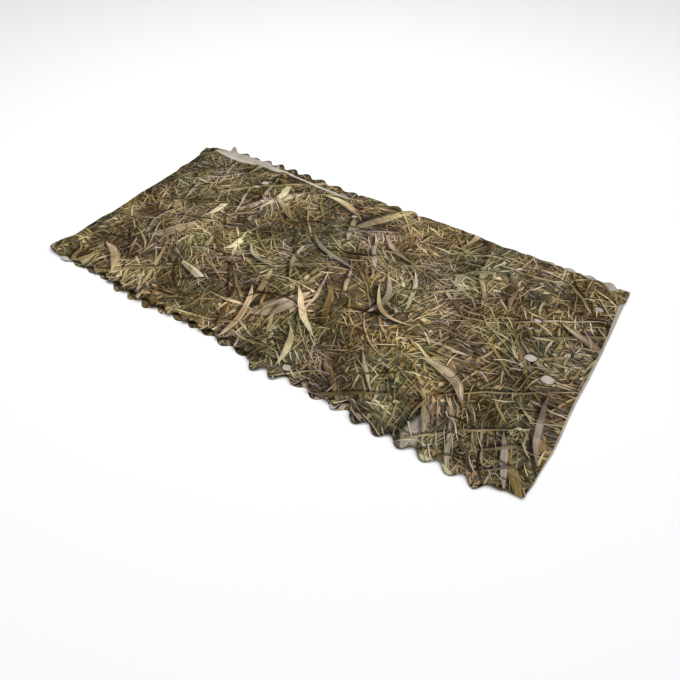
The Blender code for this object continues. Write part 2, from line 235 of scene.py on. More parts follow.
UNDER_FAR = (
    (-0.030, -0.0250, 0.0000),
    (-0.005, -0.0105, 0.0000),
    (0.020, -0.0060, 0.0000),
    (0.040, -0.0010, 0.0010),
    (0.060, 0.0045, 0.0040),
    (0.078, 0.0095, 0.0060),
    (0.110, 0.0060, 0.0045),
    (0.145, 0.0100, 0.0075),
    (0.180, 0.0110, 0.0090),
    (0.225, 0.0105, 0.0085),
    (0.265, 0.0100, 0.0080),
    (0.300, 0.0090, 0.0075),
    (0.350, 0.0055, 0.0075),
    (0.395, 0.0040, 0.0060),
    (0.425, -0.0060, 0.0040),
    (0.920, -0.0130, 0.0040),
    (0.960, -0.0150, 0.0010),
    (0.992, -0.0145, 0.0000),
    (1.000, -0.0145, 0.0000),
)

# How far the scallops of a long edge have slipped along it, where the cloth is drawn or
# gathered, as rows of: place along, slip
TOP_NEAR_SLIP = (
    (0.100, 0.004),
    (0.180, -0.002),
    (0.225, 0.009),
    (0.300, 0.011),
    (0.375, 0.007),
    (0.450, 0.006),
    (0.500, 0.007),
    (0.545, 0.000),
)
UNDER_NEAR_SLIP = (
    (0.100, 0.009),
    (0.145, 0.008),
    (0.178, 0.000),
    (0.222, 0.014),
    (0.300, 0.017),
    (0.375, 0.011),
    (0.440, -0.005),
    (0.480, -0.004),
    (0.520, 0.000),
)
UNDER_FAR_SLIP = (
    (0.080, 0.010),
    (0.145, 0.001),
    (0.180, 0.001),
    (0.260, 0.004),
    (0.300, 0.010),
    (0.350, 0.022),
    (0.395, 0.036),
)
NO_SLIP = ((0.000, 0.000),)

# Ends, as rows of: place across the pack (0 at the far edge, 1 at the near edge), offset in x
FOLDED_END = (
    (0.020, -0.0400),
    (0.062, -0.0335),
    (0.100, -0.0265),
    (0.150, -0.0132),
    (0.185, -0.0088),
    (0.230, -0.0045),
    (0.270, -0.0072),
    (0.315, 0.0020),
    (0.365, 0.0040),
    (0.450, 0.0080),
    (0.545, 0.0088),
    (0.590, 0.0135),
    (0.640, 0.0180),
    (0.720, 0.0225),
    (0.765, 0.0190),
    (0.830, 0.0225),
    (0.915, 0.0285),
    (0.972, 0.0158),
    (1.005, 0.0130),
    (1.022, 0.0185),
)
OTHER_END = (
    (0.000, -0.0020),
    (0.100, 0.0010),
    (0.300, 0.0032),
    (0.400, 0.0042),
    (0.500, 0.0038),
    (0.640, 0.0020),
    (0.820, 0.0045),
    (0.950, -0.0010),
    (1.010, -0.0055),
)
TOP_CUT_BACK = (
    (0.000, -0.0030),
    (0.088, -0.0015),
    (0.102, 0.0115),
    (0.200, 0.0085),
    (0.300, 0.0052),
    (0.500, 0.0050),
    (0.780, 0.0042),
    (0.850, 0.0026),
    (0.920, 0.0022),
    (1.010, 0.0010),
)

# Die-cut openings of the top layer that stand open, as rows of: place along, place across,
# length, width, turn in degrees
OPEN_EYES = (
    (0.911, 0.528, 0.033, 0.026, 32.0),
    (0.950, 0.588, 0.035, 0.029, 32.0),
    (0.889, 0.346, 0.026, 0.017, -3.0),
    (0.967, 0.169, 0.027, 0.020, -9.0),
    (0.950, 0.133, 0.023, 0.014, -10.0),
    (0.451, 0.159, 0.025, 0.018, 18.0),
    (0.206, 0.155, 0.027, 0.025, -24.0),
    (0.200, 0.201, 0.024, 0.016, 0.0),
    (0.249, 0.279, 0.021, 0.014, 0.0),
    (0.599, 1.003, 0.027, 0.021, -25.0),
)

# Soft swells of the top layer, as rows of: place along, place across, radius in x,
# radius in y, height
SWELLS = (
    (0.060, 0.300, 0.080, 0.120, 0.0022),
    (0.110, 0.820, 0.100, 0.090, 0.0018),
    (0.300, 0.480, 0.150, 0.130, 0.0012),
    (0.270, 0.980, 0.080, 0.050, 0.0026),
    (0.520, 0.120, 0.110, 0.090, 0.0022),
    (0.560, 0.960, 0.070, 0.060, 0.0024),
    (0.640, 0.560, 0.170, 0.110, 0.0010),
    (0.860, 0.250, 0.120, 0.110, 0.0016),
    (0.930, 0.860, 0.080, 0.100, 0.0018),
)

# How the top layer's near edge stands up or hangs, as rows of: place along, rise in the
# hollows between the scallops, rise at their tips; and how far in the bend begins
NEAR_BEND = (
    (0.080, 0.0000, -0.0010),
    (0.180, 0.0045, 0.0000),
    (0.230, 0.0075, 0.0015),
    (0.330, 0.0065, 0.0010),
    (0.500, 0.0048, 0.0008),
    (0.560, 0.0010, -0.0034),
    (0.618, 0.0020, -0.0020),
    (0.642, 0.0075, 0.0000),
    (0.670, 0.0010, -0.0010),
    (0.695, 0.0020, -0.0020),
    (0.718, 0.0075, 0.0000),
    (0.745, 0.0000, -0.0038),
    (0.940, 0.0000, -0.0042),
    (0.980, -0.0010, -0.0020),
)
NEAR_BEND_REACH = 0.018

# Tongues of arc cuts that stand clearly up or lie sunk, as rows of: place along, place
# across, rise, look of the tongue's rim, look of the rim beside it. A rim's look is 1 where it
# is pale, frayed fibres with painted highlight, and -1 where it is dark, singed with painted
# shade. Here the looks are painted light: a highlight on a raised tip and on the pale arc, and
# shadow under a raised tip and on the sunk tongue. RAISED_REACH is how near its place a
# tongue's tip has to be.
RAISED_TONGUES = (
    (0.899, 0.989, 0.0038, 0.90, -1.0),
    (0.937, 0.989, 0.0034, 0.90, -1.0),
    (0.910, 0.941, -0.0014, -1.0, 0.0),
    (0.948, 0.822, 0.0034, 1.0, 1.0),
)
RAISED_REACH = 0.008

# Of the other cuts, the share whose rims are pale, frayed with painted highlight, and the share
# past which they are dark, singed with painted shade
PALE_HIGHLIT_CUTS = 0.12
SINGED_SHADED_CUTS = 0.88

# Look of each layer's near and far rims, as rows of: place along, look. The dark stretches are
# singed rims with painted shade along the edges; the pale stretch of the top's near rim, at its
# notches, is frayed fibres with a painted highlight on the lit cut edge
NEAR_RIM = (
    (0.610, -1.0),
    (0.630, 1.0),
    (0.730, 1.0),
    (0.750, -1.0),
    (0.974, -1.0),
    (0.981, 0.0),
)
FAR_RIM = (
    (0.060, 0.0),
    (0.390, 0.0),
    (0.410, -0.8),
    (0.974, -0.8),
    (0.981, 0.0),
)
PLAIN_RIM = ((0.0, 0.0),)
SINGED_SHADED_RIM = ((0.0, -1.0),)
RIMS = {
    "top": (NEAR_RIM, FAR_RIM),
    "middle": (PLAIN_RIM, PLAIN_RIM),
    "under": (PLAIN_RIM, SINGED_SHADED_RIM),
}

# Scallops of the under layer that curl up along the far edge, as rows of: place along,
# share of the full curl; how far out they begin to curl, and how fast they rise
CURL = (
    (0.050, 0.0),
    (0.090, 0.8),
    (0.180, 1.0),
    (0.300, 0.6),
    (0.400, 0.0),
)
CURL_HINGE = 0.004
CURL_RATE = 14.0

# The flap of the middle layer that stands up beside the fold: its root along the pack, its
# outline from that root, walked from right to left, how steeply it rises, and from where to
# where beside its root
FLAP_AT = 0.045
FLAP_OUTLINE = (
    (0.019, 0.0000),
    (0.010, 0.0028),
    (0.005, 0.0066),
    (0.001, 0.0100),
    (-0.005, 0.0124),
    (-0.010, 0.0126),
    (-0.014, 0.0102),
    (-0.016, 0.0056),
    (-0.017, 0.0000),
)
FLAP_RISE = 0.9
FLAP_LEFT = -0.018
FLAP_RIGHT = 0.020

# The arc cuts lie in pairs that curve like an S: the first has its tip to the near edge, its
# partner, at CUT_PARTNER from it, has its tip to the far edge. On the hidden layers only those
# in a band along the long edges are cut.
CUT_START = (0.5614, -0.3384)
CUT_ROW_STEP = 0.0423
CUT_ROWS = (-1, 17)
CUT_COLUMNS = (-24, 3)
CUT_PARTNER = (0.026, 0.017)
CUT_TURN = math.radians(32.0)
CUT_CHORD = 0.028
CUT_DEPTH = 0.0125
CUT_CLEAR_OF_EYE = 0.014
CUT_CLEAR_OF_EDGE = 0.009
CUT_CLEAR_OF_LEFT_END = 0.030
CUT_CLEAR_OF_RIGHT_END = 0.022
HIDDEN_CUT_BAND = 0.075

# Tongues of the cuts: how their chances change along and across, their lift, its least share
# and the share left to chance, how unevenly they lean, from how far out a raised one's tip is
# pale with a painted highlight, and the points inside them on each layer, as rows of: share of
# the depth, places along the chord
CUT_CHANCES = (91.0, 83.0)
CUT_LIFT = 0.0010
LEAST_LIFT = 0.25
CHANCE_LIFT = 0.75
LEAN = 0.4
HIGHLIT_TONGUE_FROM = 0.6 * CUT_DEPTH
TONGUE_POINTS = {
    "top": ((0.35, (-0.22, 0.0, 0.22)), (0.68, (-0.1, 0.1))),
    "middle": ((0.5, (-0.1, 0.1)),),
    "under": ((0.5, (-0.1, 0.1)),),
}

MIDDLE_LEVEL = LAYER_FLOOR + LAYER_STEP
TOP_LEVEL = MIDDLE_LEVEL + LAYER_STEP

# Small waves of the top and middle layers, as seed and scale, and the middle layer's share of
# their height; the finer waves over them; and how the near edge's bend changes along it
TOP_WAVES = (1.0, 11.0)
MIDDLE_WAVES = (3.0, 14.0)
MIDDLE_WAVES_SHARE = 0.3
FINER_SCALE = 2.3
FINER_SHARE = 0.5
FINER_SEED = 7.0
BEND_CHANGES = 23.0
BEND_CHANGE = 0.7
BEND_SEED = 5.0

EDGES = {
    "top": ((TOP_NEAR, NEAR_TIP_X, TOP_NEAR_SLIP), (TOP_FAR, FAR_TIP_X, NO_SLIP)),
    "middle": ((MIDDLE_NEAR, NEAR_TIP_X, NO_SLIP), (MIDDLE_FAR, FAR_TIP_X, NO_SLIP)),
    "under": ((UNDER_NEAR, NEAR_TIP_X, UNDER_NEAR_SLIP), (UNDER_FAR, UNDER_TIP_X, UNDER_FAR_SLIP)),
}

# How finely each layer is divided: steps per scallop, spacing of the field, steps per cut
FINENESS = {
    "top": (18, 0.0105, 10),
    "middle": (12, 0.034, 6),
    "under": (12, 0.034, 6),
}
END_STATIONS = 72
FOLD_STEPS = 10
EYE_POINTS = 28
CORNER_PASSES = 12

# The field of points inside a layer: the height of an even triangle, how many pack lengths and
# widths it spans, and its distances from edges, as a share of its spacing, from cuts and from
# eyes
TRIANGLE_HEIGHT = 0.866
FIELD_SPAN = (1.1, 1.2)
FIELD_CLEAR_OF_EDGE = 0.45
FIELD_CLEAR_OF_CUT = 0.0032
FIELD_CLEAR_OF_EYE = 0.004

# Rows of points along the long edges, as rows of: distance inside, stagger in steps
EDGE_ROWS = ((0.006, 0.0), (0.016, 0.5))
EDGE_ROW_STEP = LOBE_PITCH / 6
EDGE_ROW_CLEAR_OF_CUT = 0.003

# How near points count as one in filling an outline, as lying on an arc, and in welding; and
# the way of filling that keeps inside the outline
NEARNESS = 0.0000001
ON_ARC = 0.00002
WELD_DISTANCE = 0.00001
TRIANGLES_INSIDE = 1


# ---------------------------------------------------------------------------
# Properties
# ---------------------------------------------------------------------------


def colour_property(name, description, default):
    return FloatVectorProperty(
        name=name, description=description, default=default,
        size=4, min=0.0, max=1.0, subtype='COLOR',
    )


class NetSizes(bpy.types.PropertyGroup):
    """Sizes of the cloth itself"""

    thickness: FloatProperty(
        name="Cloth thickness", description="Thickness of the cloth",
        default=0.0008, min=0.0002, max=0.003, unit='LENGTH', precision=4,
    )
    ripple: FloatProperty(
        name="Ripple", description="Height of the cloth's small waves",
        default=0.0007, min=0.0, max=0.003, unit='LENGTH', precision=4,
    )
    cut_lift: FloatProperty(
        name="Lift at cuts", description="How far the tongues of the arc cuts stand up",
        default=CUT_LIFT, min=0.0, max=0.004, unit='LENGTH', precision=4,
    )


class NetColours(bpy.types.PropertyGroup):
    """Colours of the print, the unprinted back and the cut edges"""

    shadow: colour_property("Shadow", "Darkest brown of the print", (0.020, 0.011, 0.003, 1))
    bark: colour_property("Bark", "Dark brown of the print", (0.064, 0.042, 0.018, 1))
    olive: colour_property("Olive", "Olive of the print", (0.125, 0.102, 0.054, 1))
    ochre: colour_property("Ochre", "Ochre of the print", (0.225, 0.162, 0.072, 1))
    straw: colour_property("Straw", "Straw tan of the print", (0.295, 0.238, 0.142, 1))
    cream: colour_property("Cream", "Pale cream of the print", (0.500, 0.440, 0.330, 1))
    lichen: colour_property("Lichen", "Grey green of the print", (0.068, 0.076, 0.062, 1))
    lilac: colour_property("Lilac", "Lilac grey of the print", (0.290, 0.250, 0.222, 1))
    reverse: colour_property("Reverse", "Unprinted back of the cloth", (0.510, 0.456, 0.394, 1))
    rim: colour_property("Cut rim", "Edge of the cut cloth", (0.250, 0.210, 0.165, 1))


# ---------------------------------------------------------------------------
# Shape of the folded cloth
# ---------------------------------------------------------------------------


def eased(part):
    part = min(max(part, 0.0), 1.0)
    return part * part * (3.0 - 2.0 * part)


def read_table(table, place):
    """The values of a table at a place, eased between its rows."""
    if place <= table[0][0]:
        return table[0][1:]
    for low, high in zip(table, table[1:]):
        if place <= high[0]:
            share = eased((place - low[0]) / (high[0] - low[0]))
            return tuple(a + (b - a) * share for a, b in zip(low[1:], high[1:]))
    return table[-1][1:]


def place_along(x):
    return (x + HALF_LENGTH) / PACK_LENGTH


def place_across(y):
    return (HALF_WIDTH - y) / PACK_WIDTH


def edge_y(layer, side, x):
    """Place in y of a layer's near (side -1) or far (side 1) edge."""
    table, tip_x, slips = EDGES[layer][0 if side < 0 else 1]
    reach, swing = read_table(table, place_along(x))
    tip_x += read_table(slips, place_along(x))[0]
    turn = 2.0 * math.pi * (x - tip_x) / LOBE_PITCH
    wave = math.cos(turn) - LOBE_FLATNESS * math.cos(2.0 * turn)
    return side * (HALF_WIDTH + reach + swing * wave)


def left_end_x(layer, y):
    folded = -HALF_LENGTH + read_table(FOLDED_END, place_across(y))[0]
    if layer == "under":
        return folded + UNDER_SETBACK
    return folded + UPPER_FOLD_RADIUS


def right_end_x(layer, y):
    folded = HALF_LENGTH + read_table(OTHER_END, place_across(y))[0]
    if layer == "top":
        return folded - read_table(TOP_CUT_BACK, place_across(y))[0]
    return folded - LOWER_FOLD_RADIUS


def corner(layer, side, end_x):
    """Where a long edge meets an end, found by going from one to the other."""
    y = side * HALF_WIDTH
    for _ in range(CORNER_PASSES):
        x = end_x(layer, y)
        y = edge_y(layer, side, x)
    return x, y


def long_edge(layer, side):
    """Points of a long edge, from its left corner to its right corner."""
    x_low, y_low = corner(layer, side, left_end_x)
    x_high, y_high = corner(layer, side, right_end_x)
    count = round((x_high - x_low) / LOBE_PITCH * FINENESS[layer][0])
    points = [(x_low, y_low)]
    for i in range(1, count):
        x = x_low + (x_high - x_low) * i / count
        points.append((x, edge_y(layer, side, x)))
    points.append((x_high, y_high))
    return points


def end_line(layer, end_x):
    """Points of an end, from its near corner to its far corner."""
    y_low = corner(layer, -1, end_x)[1]
    y_high = corner(layer, 1, end_x)[1]
    points = []
    for i in range(END_STATIONS + 1):
        y = y_low + (y_high - y_low) * i / END_STATIONS
        points.append((end_x(layer, y), y))
    return points


def flap_root():
    x = FLAP_AT * PACK_LENGTH - HALF_LENGTH
    return x, edge_y("middle", 1, x)


def add_flap(far_edge):
    """The far edge with the standing flap's outline in place of the stretch at its root."""
    root_x, root_y = flap_root()
    flap = [(root_x + dx, root_y + dy) for dx, dy in reversed(FLAP_OUTLINE)]
    before = [p for p in far_edge if p[0] < flap[0][0]]
    after = [p for p in far_edge if p[0] > flap[-1][0]]
    return before + flap + after


def eye_centre(row):
    return row[0] * PACK_LENGTH - HALF_LENGTH, HALF_WIDTH - row[1] * PACK_WIDTH


def eye_outline(row):
    """A pointed opening between two equal arcs."""
    length, width, turn = row[2:]
    centre_x, centre_y = eye_centre(row)
    angle = math.radians(turn)
    points = []
    for i in range(EYE_POINTS):
        phase = 2.0 * math.pi * i / EYE_POINTS
        u = math.cos(phase) * length / 2
        v = math.copysign(1.0 - math.cos(phase) ** 2, math.sin(phase)) * width / 2
        x = centre_x + u * math.cos(angle) - v * math.sin(angle)
        y = centre_y + u * math.sin(angle) + v * math.cos(angle)
        points.append((x, y))
    return points


class Cut:
    """An arc cut: the middle of its chord, and the side its tongue's tip points to."""

    def __init__(self, x, y, tip_side):
        self.x = x
        self.y = y
        self.tip_side = tip_side
        place = Vector((x * CUT_CHANCES[0], y * CUT_CHANCES[1], tip_side))
        chance = noise.cell_vector(place)
        self.lift = LEAST_LIFT + CHANCE_LIFT * abs(chance.x)
        self.lean = chance.y * LEAN
        chosen = abs(chance.z)
        common = 1.0 if chosen < PALE_HIGHLIT_CUTS else -1.0 if chosen > SINGED_SHADED_CUTS else 0.0
        self.rise, self.own_rim, self.rim_beside = self.own_look(common)

    def own_look(self, common):
        """How far this tongue stands up by itself, and the looks of the rims at its arc."""
        tip = self.point(0.0)
        for along, across, *look in RAISED_TONGUES:
            if math.dist(tip, eye_centre((along, across))) < RAISED_REACH:
                return look
        return 0.0, common, common

    def at(self, u, w):
        """The place at u along the chord and w from it towards the tongue's tip."""
        across = w * self.tip_side
        x = self.x + u * math.cos(CUT_TURN) - across * math.sin(CUT_TURN)
        return x, self.y + u * math.sin(CUT_TURN) + across * math.cos(CUT_TURN)

    def of(self, x, y):
        """How far a place lies along the chord and from it towards the tongue's tip."""
        dx, dy = x - self.x, y - self.y
        u = dx * math.cos(CUT_TURN) + dy * math.sin(CUT_TURN)
        return u, (dy * math.cos(CUT_TURN) - dx * math.sin(CUT_TURN)) * self.tip_side

    @staticmethod
    def depth(u):
        return CUT_DEPTH * (1.0 - min(1.0, (2.0 * u / CUT_CHORD) ** 2))

    def point(self, u):
        return self.at(u, self.depth(u))

    def outline(self, steps):
        """Points along the arc, closer together where it turns most."""
        return [
            self.point(-math.cos(math.pi * i / steps) * CUT_CHORD / 2) for i in range(steps + 1)
        ]

    def holds(self, x, y):
        """Whether a place lies on the tongue."""
        u, w = self.of(x, y)
        return abs(u) < CUT_CHORD / 2 and 0.0 <= w <= self.depth(u) + NEARNESS * 10


def cuts_of(layer):
    """The arc cuts of a layer."""
    cuts = []
    for row in range(*CUT_ROWS):
        for column in range(*CUT_COLUMNS):
            x = CUT_START[0] + column * LOBE_PITCH
            y = CUT_START[1] + row * CUT_ROW_STEP
            cuts.append(Cut(x, y, -1))
            cuts.append(Cut(x + CUT_PARTNER[0], y + CUT_PARTNER[1], 1))
    return [cut for cut in cuts if fits(layer, cut)]


def fits(layer, cut):
    """Whether a cut lies well inside a layer and, on hidden layers, near a long edge."""
    x, y = cut.at(0.0, CUT_DEPTH / 2)
    gap = min(
        min(ay - edge_y(layer, -1, ax), edge_y(layer, 1, ax) - ay)
        for ax, ay in cut.outline(FINENESS["middle"][2])
    )
    if gap < CUT_CLEAR_OF_EDGE:
        return False
    low = left_end_x(layer, y) + CUT_CLEAR_OF_LEFT_END
    high = right_end_x(layer, y) - CUT_CLEAR_OF_RIGHT_END
    if not low < x < high:
        return False
    if layer != "top":
        return gap <= HIDDEN_CUT_BAND
    return off_eyes((x, y), CUT_CLEAR_OF_EYE)


def off_eyes(point, gap):
    """Whether a place lies at a distance from every open eye."""
    return all(math.dist(point, eye_centre(row)) > row[2] / 2 + gap for row in OPEN_EYES)


class CutFinder:
    """Finds the cuts near a place, by cells of one scallop's width."""

    def __init__(self, cuts):
        self.size = LOBE_PITCH
        self.cells = {}
        for cut in cuts:
            self.cells.setdefault(self.key(cut.x, cut.y), []).append(cut)

    def key(self, x, y):
        return math.floor(x / self.size), math.floor(y / self.size)

    def near(self, x, y):
        i, j = self.key(x, y)
        for di in (-1, 0, 1):
            for dj in (-1, 0, 1):
                yield from self.cells.get((i + di, j + dj), ())

    def tongue(self, x, y):
        """The cut on whose tongue a place lies, if any."""
        return next((cut for cut in self.near(x, y) if cut.holds(x, y)), None)

    def on_arc(self, x, y):
        """The cut on whose arc a place lies, if any."""
        for cut in self.near(x, y):
            u, w = cut.of(x, y)
            if abs(u) < CUT_CHORD / 2 + ON_ARC and abs(w - cut.depth(u)) < ON_ARC:
                return cut
        return None

    def clear(self, x, y, gap):
        """Whether a place lies off every tongue and at a distance from every cut."""
        for cut in self.near(x, y):
            u, w = cut.of(x, y)
            if abs(u) < CUT_CHORD / 2 + gap and -gap < w < cut.depth(u) + gap:
                if w > 0.0 or cut.depth(u) < gap:
                    return False
        return True


def field_points(layer, finder):
    """Points inside a layer on a grid of triangles, clear of its edges and cuts."""
    spacing = FINENESS[layer][1]
    points = []
    gap = spacing * FIELD_CLEAR_OF_EDGE
    columns = int(PACK_LENGTH * FIELD_SPAN[0] / spacing)
    rows = int(PACK_WIDTH * FIELD_SPAN[1] / (spacing * TRIANGLE_HEIGHT))
    for j in range(rows + 1):
        y = (j - rows / 2) * spacing * TRIANGLE_HEIGHT
        for i in range(columns + 1):
            x = (i - columns / 2 + 0.5 * (j % 2)) * spacing
            if not edge_y(layer, -1, x) + gap < y < edge_y(layer, 1, x) - gap:
                continue
            if not left_end_x(layer, y) + gap < x < right_end_x(layer, y) - gap:
                continue
            if finder.clear(x, y, FIELD_CLEAR_OF_CUT):
                points.append((x, y))
    return points


def edge_row_points(layer):
    """Points along both long edges, a little inside, so that the scallops can bend."""
    points = []
    count = int(PACK_LENGTH / EDGE_ROW_STEP)
    for side in (-1, 1):
        table = EDGES[layer][0 if side < 0 else 1][0]
        for inset, stagger in EDGE_ROWS:
            for i in range(2, count - 1):
                x = -HALF_LENGTH + (i + stagger) * EDGE_ROW_STEP
                reach, swing = read_table(table, place_along(x))
                points.append((x, side * (HALF_WIDTH + reach - abs(swing) - inset)))
    return points


def near_bend(x, y):
    """Rise of the top layer beside its near edge."""
    edge = edge_y("top", -1, x)
    nearness = 1.0 - eased((y - edge) / NEAR_BEND_REACH)
    reach, swing = read_table(TOP_NEAR, place_along(x))
    tipness = eased((-edge - HALF_WIDTH - reach) / (2.0 * abs(swing) + NEARNESS) + 0.5)
    hollow, tip = read_table(NEAR_BEND, place_along(x))
    variety = 1.0 + BEND_CHANGE * noise.noise(Vector((x * BEND_CHANGES, 0.0, BEND_SEED)))
    return nearness * (hollow + (tip - hollow) * tipness) * variety


def ripple(x, y, seed, scale):
    """Small even waves, mostly from -1 to 1."""
    place = Vector((x * scale, y * scale, seed))
    finer = Vector((x * scale * FINER_SCALE, y * scale * FINER_SCALE, seed + FINER_SEED))
    return noise.noise(place) + FINER_SHARE * noise.noise(finer)


def height(layer, x, y, sizes):
    """Level of the middle of a layer's cloth."""
    waves = sizes.ripple
    if layer == "under":
        curl = read_table(CURL, place_along(x))[0]
        beyond = max(0.0, y - HALF_WIDTH - CURL_HINGE)
        return LAYER_FLOOR + curl * CURL_RATE * beyond * beyond
    if layer == "middle":
        root_x, root_y = flap_root()
        on_flap = FLAP_LEFT <= x - root_x <= FLAP_RIGHT
        beyond = max(0.0, y - root_y)
        level = MIDDLE_LEVEL + (FLAP_RISE * beyond if on_flap else 0.0)
        return level + MIDDLE_WAVES_SHARE * waves * ripple(x, y, *MIDDLE_WAVES)
    level = TOP_LEVEL
    from_fold = x - left_end_x(layer, y)
    settled = eased(from_fold / UPPER_FOLD_RUN)
    level += (2 * UPPER_FOLD_RADIUS - LAYER_STEP) * (1.0 - settled)
    for along, across, radius_x, radius_y, rise in SWELLS:
        dx = (x + HALF_LENGTH - along * PACK_LENGTH) / radius_x
        dy = (y - HALF_WIDTH + across * PACK_WIDTH) / radius_y
        level += rise * math.exp(-dx * dx - dy * dy) * settled
    level += waves * ripple(x, y, *TOP_WAVES) * settled
    return level + near_bend(x, y) * settled


def ring(first, count):
    """Pairs that join a count of points into a ring."""
    return [(first + i, first + (i + 1) % count) for i in range(count)]


def layer_outline(layer, left, right):
    """Points around a layer, between the lines of its two ends."""
    near = long_edge(layer, -1)
    far = long_edge(layer, 1)
    if layer == "middle":
        far = add_flap(far)
    return near[:-1] + right[:-1] + far[:0:-1] + left[:0:-1]


def fill_layer(sheet, layer, outline, cuts, finder):
    """Fill a layer's outline with triangles, leave its eyes empty and open its cuts."""
    points = list(outline)
    edges = ring(0, len(points))
    eye_of_point = {}
    for number, row in enumerate(OPEN_EYES if layer == "top" else ()):
        first = len(points)
        points += eye_outline(row)
        edges += ring(first, EYE_POINTS)
        eye_of_point.update({i: number for i in range(first, len(points))})
    steps = FINENESS[layer][2]
    cut_pairs = set()
    for cut in cuts:
        first = len(points)
        points += cut.outline(steps)
        pairs = [(i, i + 1) for i in range(first, first + steps)]
        edges += pairs
        cut_pairs.update(pairs)
        for share, places in TONGUE_POINTS[layer]:
            points += [cut.at(u * CUT_CHORD, share * CUT_DEPTH) for u in places]
    inner = [p for p in edge_row_points(layer) if finder.clear(*p, EDGE_ROW_CLEAR_OF_CUT)]
    inner += field_points(layer, finder)
    points += [p for p in inner if layer != "top" or off_eyes(p, FIELD_CLEAR_OF_EYE)]
    flat = [Vector(p) for p in points]
    found, _, faces, sources, _, _ = delaunay_2d_cdt(flat, edges, [], TRIANGLES_INSIDE, NEARNESS)
    verts = [sheet.verts.new((p.x, p.y, 0.0)) for p in found]
    made = []
    for face in faces:
        eyes = {eye_of_point.get(sources[i][0]) if sources[i] else None for i in face}
        if len(eyes) > 1 or None in eyes:
            made.append(sheet.faces.new([verts[i] for i in face]))
    of_source = {source: vert for vert, group in zip(verts, sources) for source in group}
    split = [sheet.edges.get((of_source[a], of_source[b])) for a, b in cut_pairs]
    bmesh.ops.split_edges(sheet, edges=[edge for edge in split if edge])
    return made


def lay_layer(sheet, layer, sizes, loose_ends):
    """Make one layer, lay it at its height and note the looks of its rims."""
    left = end_line(layer, left_end_x)
    right = end_line(layer, right_end_x)
    cuts = cuts_of(layer)
    finder = CutFinder(cuts)
    made = fill_layer(sheet, layer, layer_outline(layer, left, right), cuts, finder)
    on_tongue = {}
    for face in made:
        middle = face.calc_center_median()
        cut = finder.tongue(middle.x, middle.y)
        if cut:
            on_tongue.update(dict.fromkeys(face.verts, cut))
    members = {vert for face in made for vert in face.verts}
    rim = sheet.verts.layers.float["rim"]
    for vert in members:
        x, y = vert.co.x, vert.co.y
        z = height(layer, x, y, sizes)
        cut = on_tongue.get(vert)
        if cut:
            u, w = cut.of(x, y)
            rise = sizes.cut_lift * cut.lift + (cut.rise if layer == "top" else 0.0)
            z += rise * max(0.0, w / CUT_DEPTH) * (1.0 + cut.lean * u / CUT_CHORD)
        vert.co.z = z
        # A free rim takes its look: dark, singed with painted shade, and pale, frayed with painted
        # highlight. A raised tongue's tip is pale with a painted highlight.
        if vert.is_boundary:
            vert[rim] = rim_look(layer, finder, x, y, cut)
        elif layer == "top" and cut and cut.rise > 0.0 and w > HIGHLIT_TONGUE_FROM:
            vert[rim] = cut.own_rim
    loose_ends[layer] = (left, right)
    return made


def rim_look(layer, finder, x, y, tongue):
    """Look of a layer's free rim at a place, on a tongue or beside it."""
    cut = finder.on_arc(x, y)
    if cut and layer == "top":
        return cut.own_rim if tongue is cut else cut.rim_beside
    near, far = RIMS[layer]
    return read_table(near if y < 0.0 else far, place_along(x))[0]


def lay_fold(sheet, line, low_layer, high_layer, radius, direction, sizes):
    """A half-round fold between two layers, along the line of their ends."""
    rows = []
    for x, y in line:
        low = height(low_layer, x, y, sizes)
        high = height(high_layer, x, y, sizes)
        row = []
        for i in range(FOLD_STEPS + 1):
            angle = math.pi * i / FOLD_STEPS
            z = low + (high - low) * (1.0 - math.cos(angle)) / 2
            row.append(sheet.verts.new((x + direction * radius * math.sin(angle), y, z)))
        rows.append(row)
    made = []
    for row, after in zip(rows, rows[1:]):
        for i in range(FOLD_STEPS):
            made.append(sheet.faces.new((row[i], row[i + 1], after[i + 1], after[i])))
    return made


def unrolled(layer, x, y):
    """Place along the flat sheet of a point on a layer, in metres from the pack's middle."""
    if layer == "top":
        return x
    folded = left_end_x("top", y)
    middle = 2.0 * folded - math.pi * UPPER_FOLD_RADIUS - x
    if layer == "middle":
        return middle
    right_end = right_end_x("middle", y)
    at_right_end = 2.0 * folded - math.pi * UPPER_FOLD_RADIUS - 2.0 * right_end
    return at_right_end - math.pi * LOWER_FOLD_RADIUS + x


def round_fold(z, low, radius):
    """How far a level is round a fold from its upper side, along the cloth."""
    share = min(max((z - low) / (2 * radius), 0.0), 1.0)
    return (math.pi - math.acos(1.0 - 2.0 * share)) * radius


def note_cloth_places(sheet, parts):
    """Give each face corner its place on the flat sheet, in metres."""
    flat = sheet.loops.layers.uv.new("Cloth")
    for layer, faces in parts.items():
        for face in faces:
            for loop in face.loops:
                x, y, z = loop.vert.co
                if layer == "upper_fold":
                    along = left_end_x("top", y)
                    along -= round_fold(z, MIDDLE_LEVEL, UPPER_FOLD_RADIUS)
                elif layer == "lower_fold":
                    along = unrolled("middle", right_end_x("middle", y), y)
                    along -= round_fold(z, LAYER_FLOOR, LOWER_FOLD_RADIUS)
                else:
                    along = unrolled(layer, x, y)
                loop[flat].uv = (along, y)


# ---------------------------------------------------------------------------
# Shader boards
# ---------------------------------------------------------------------------


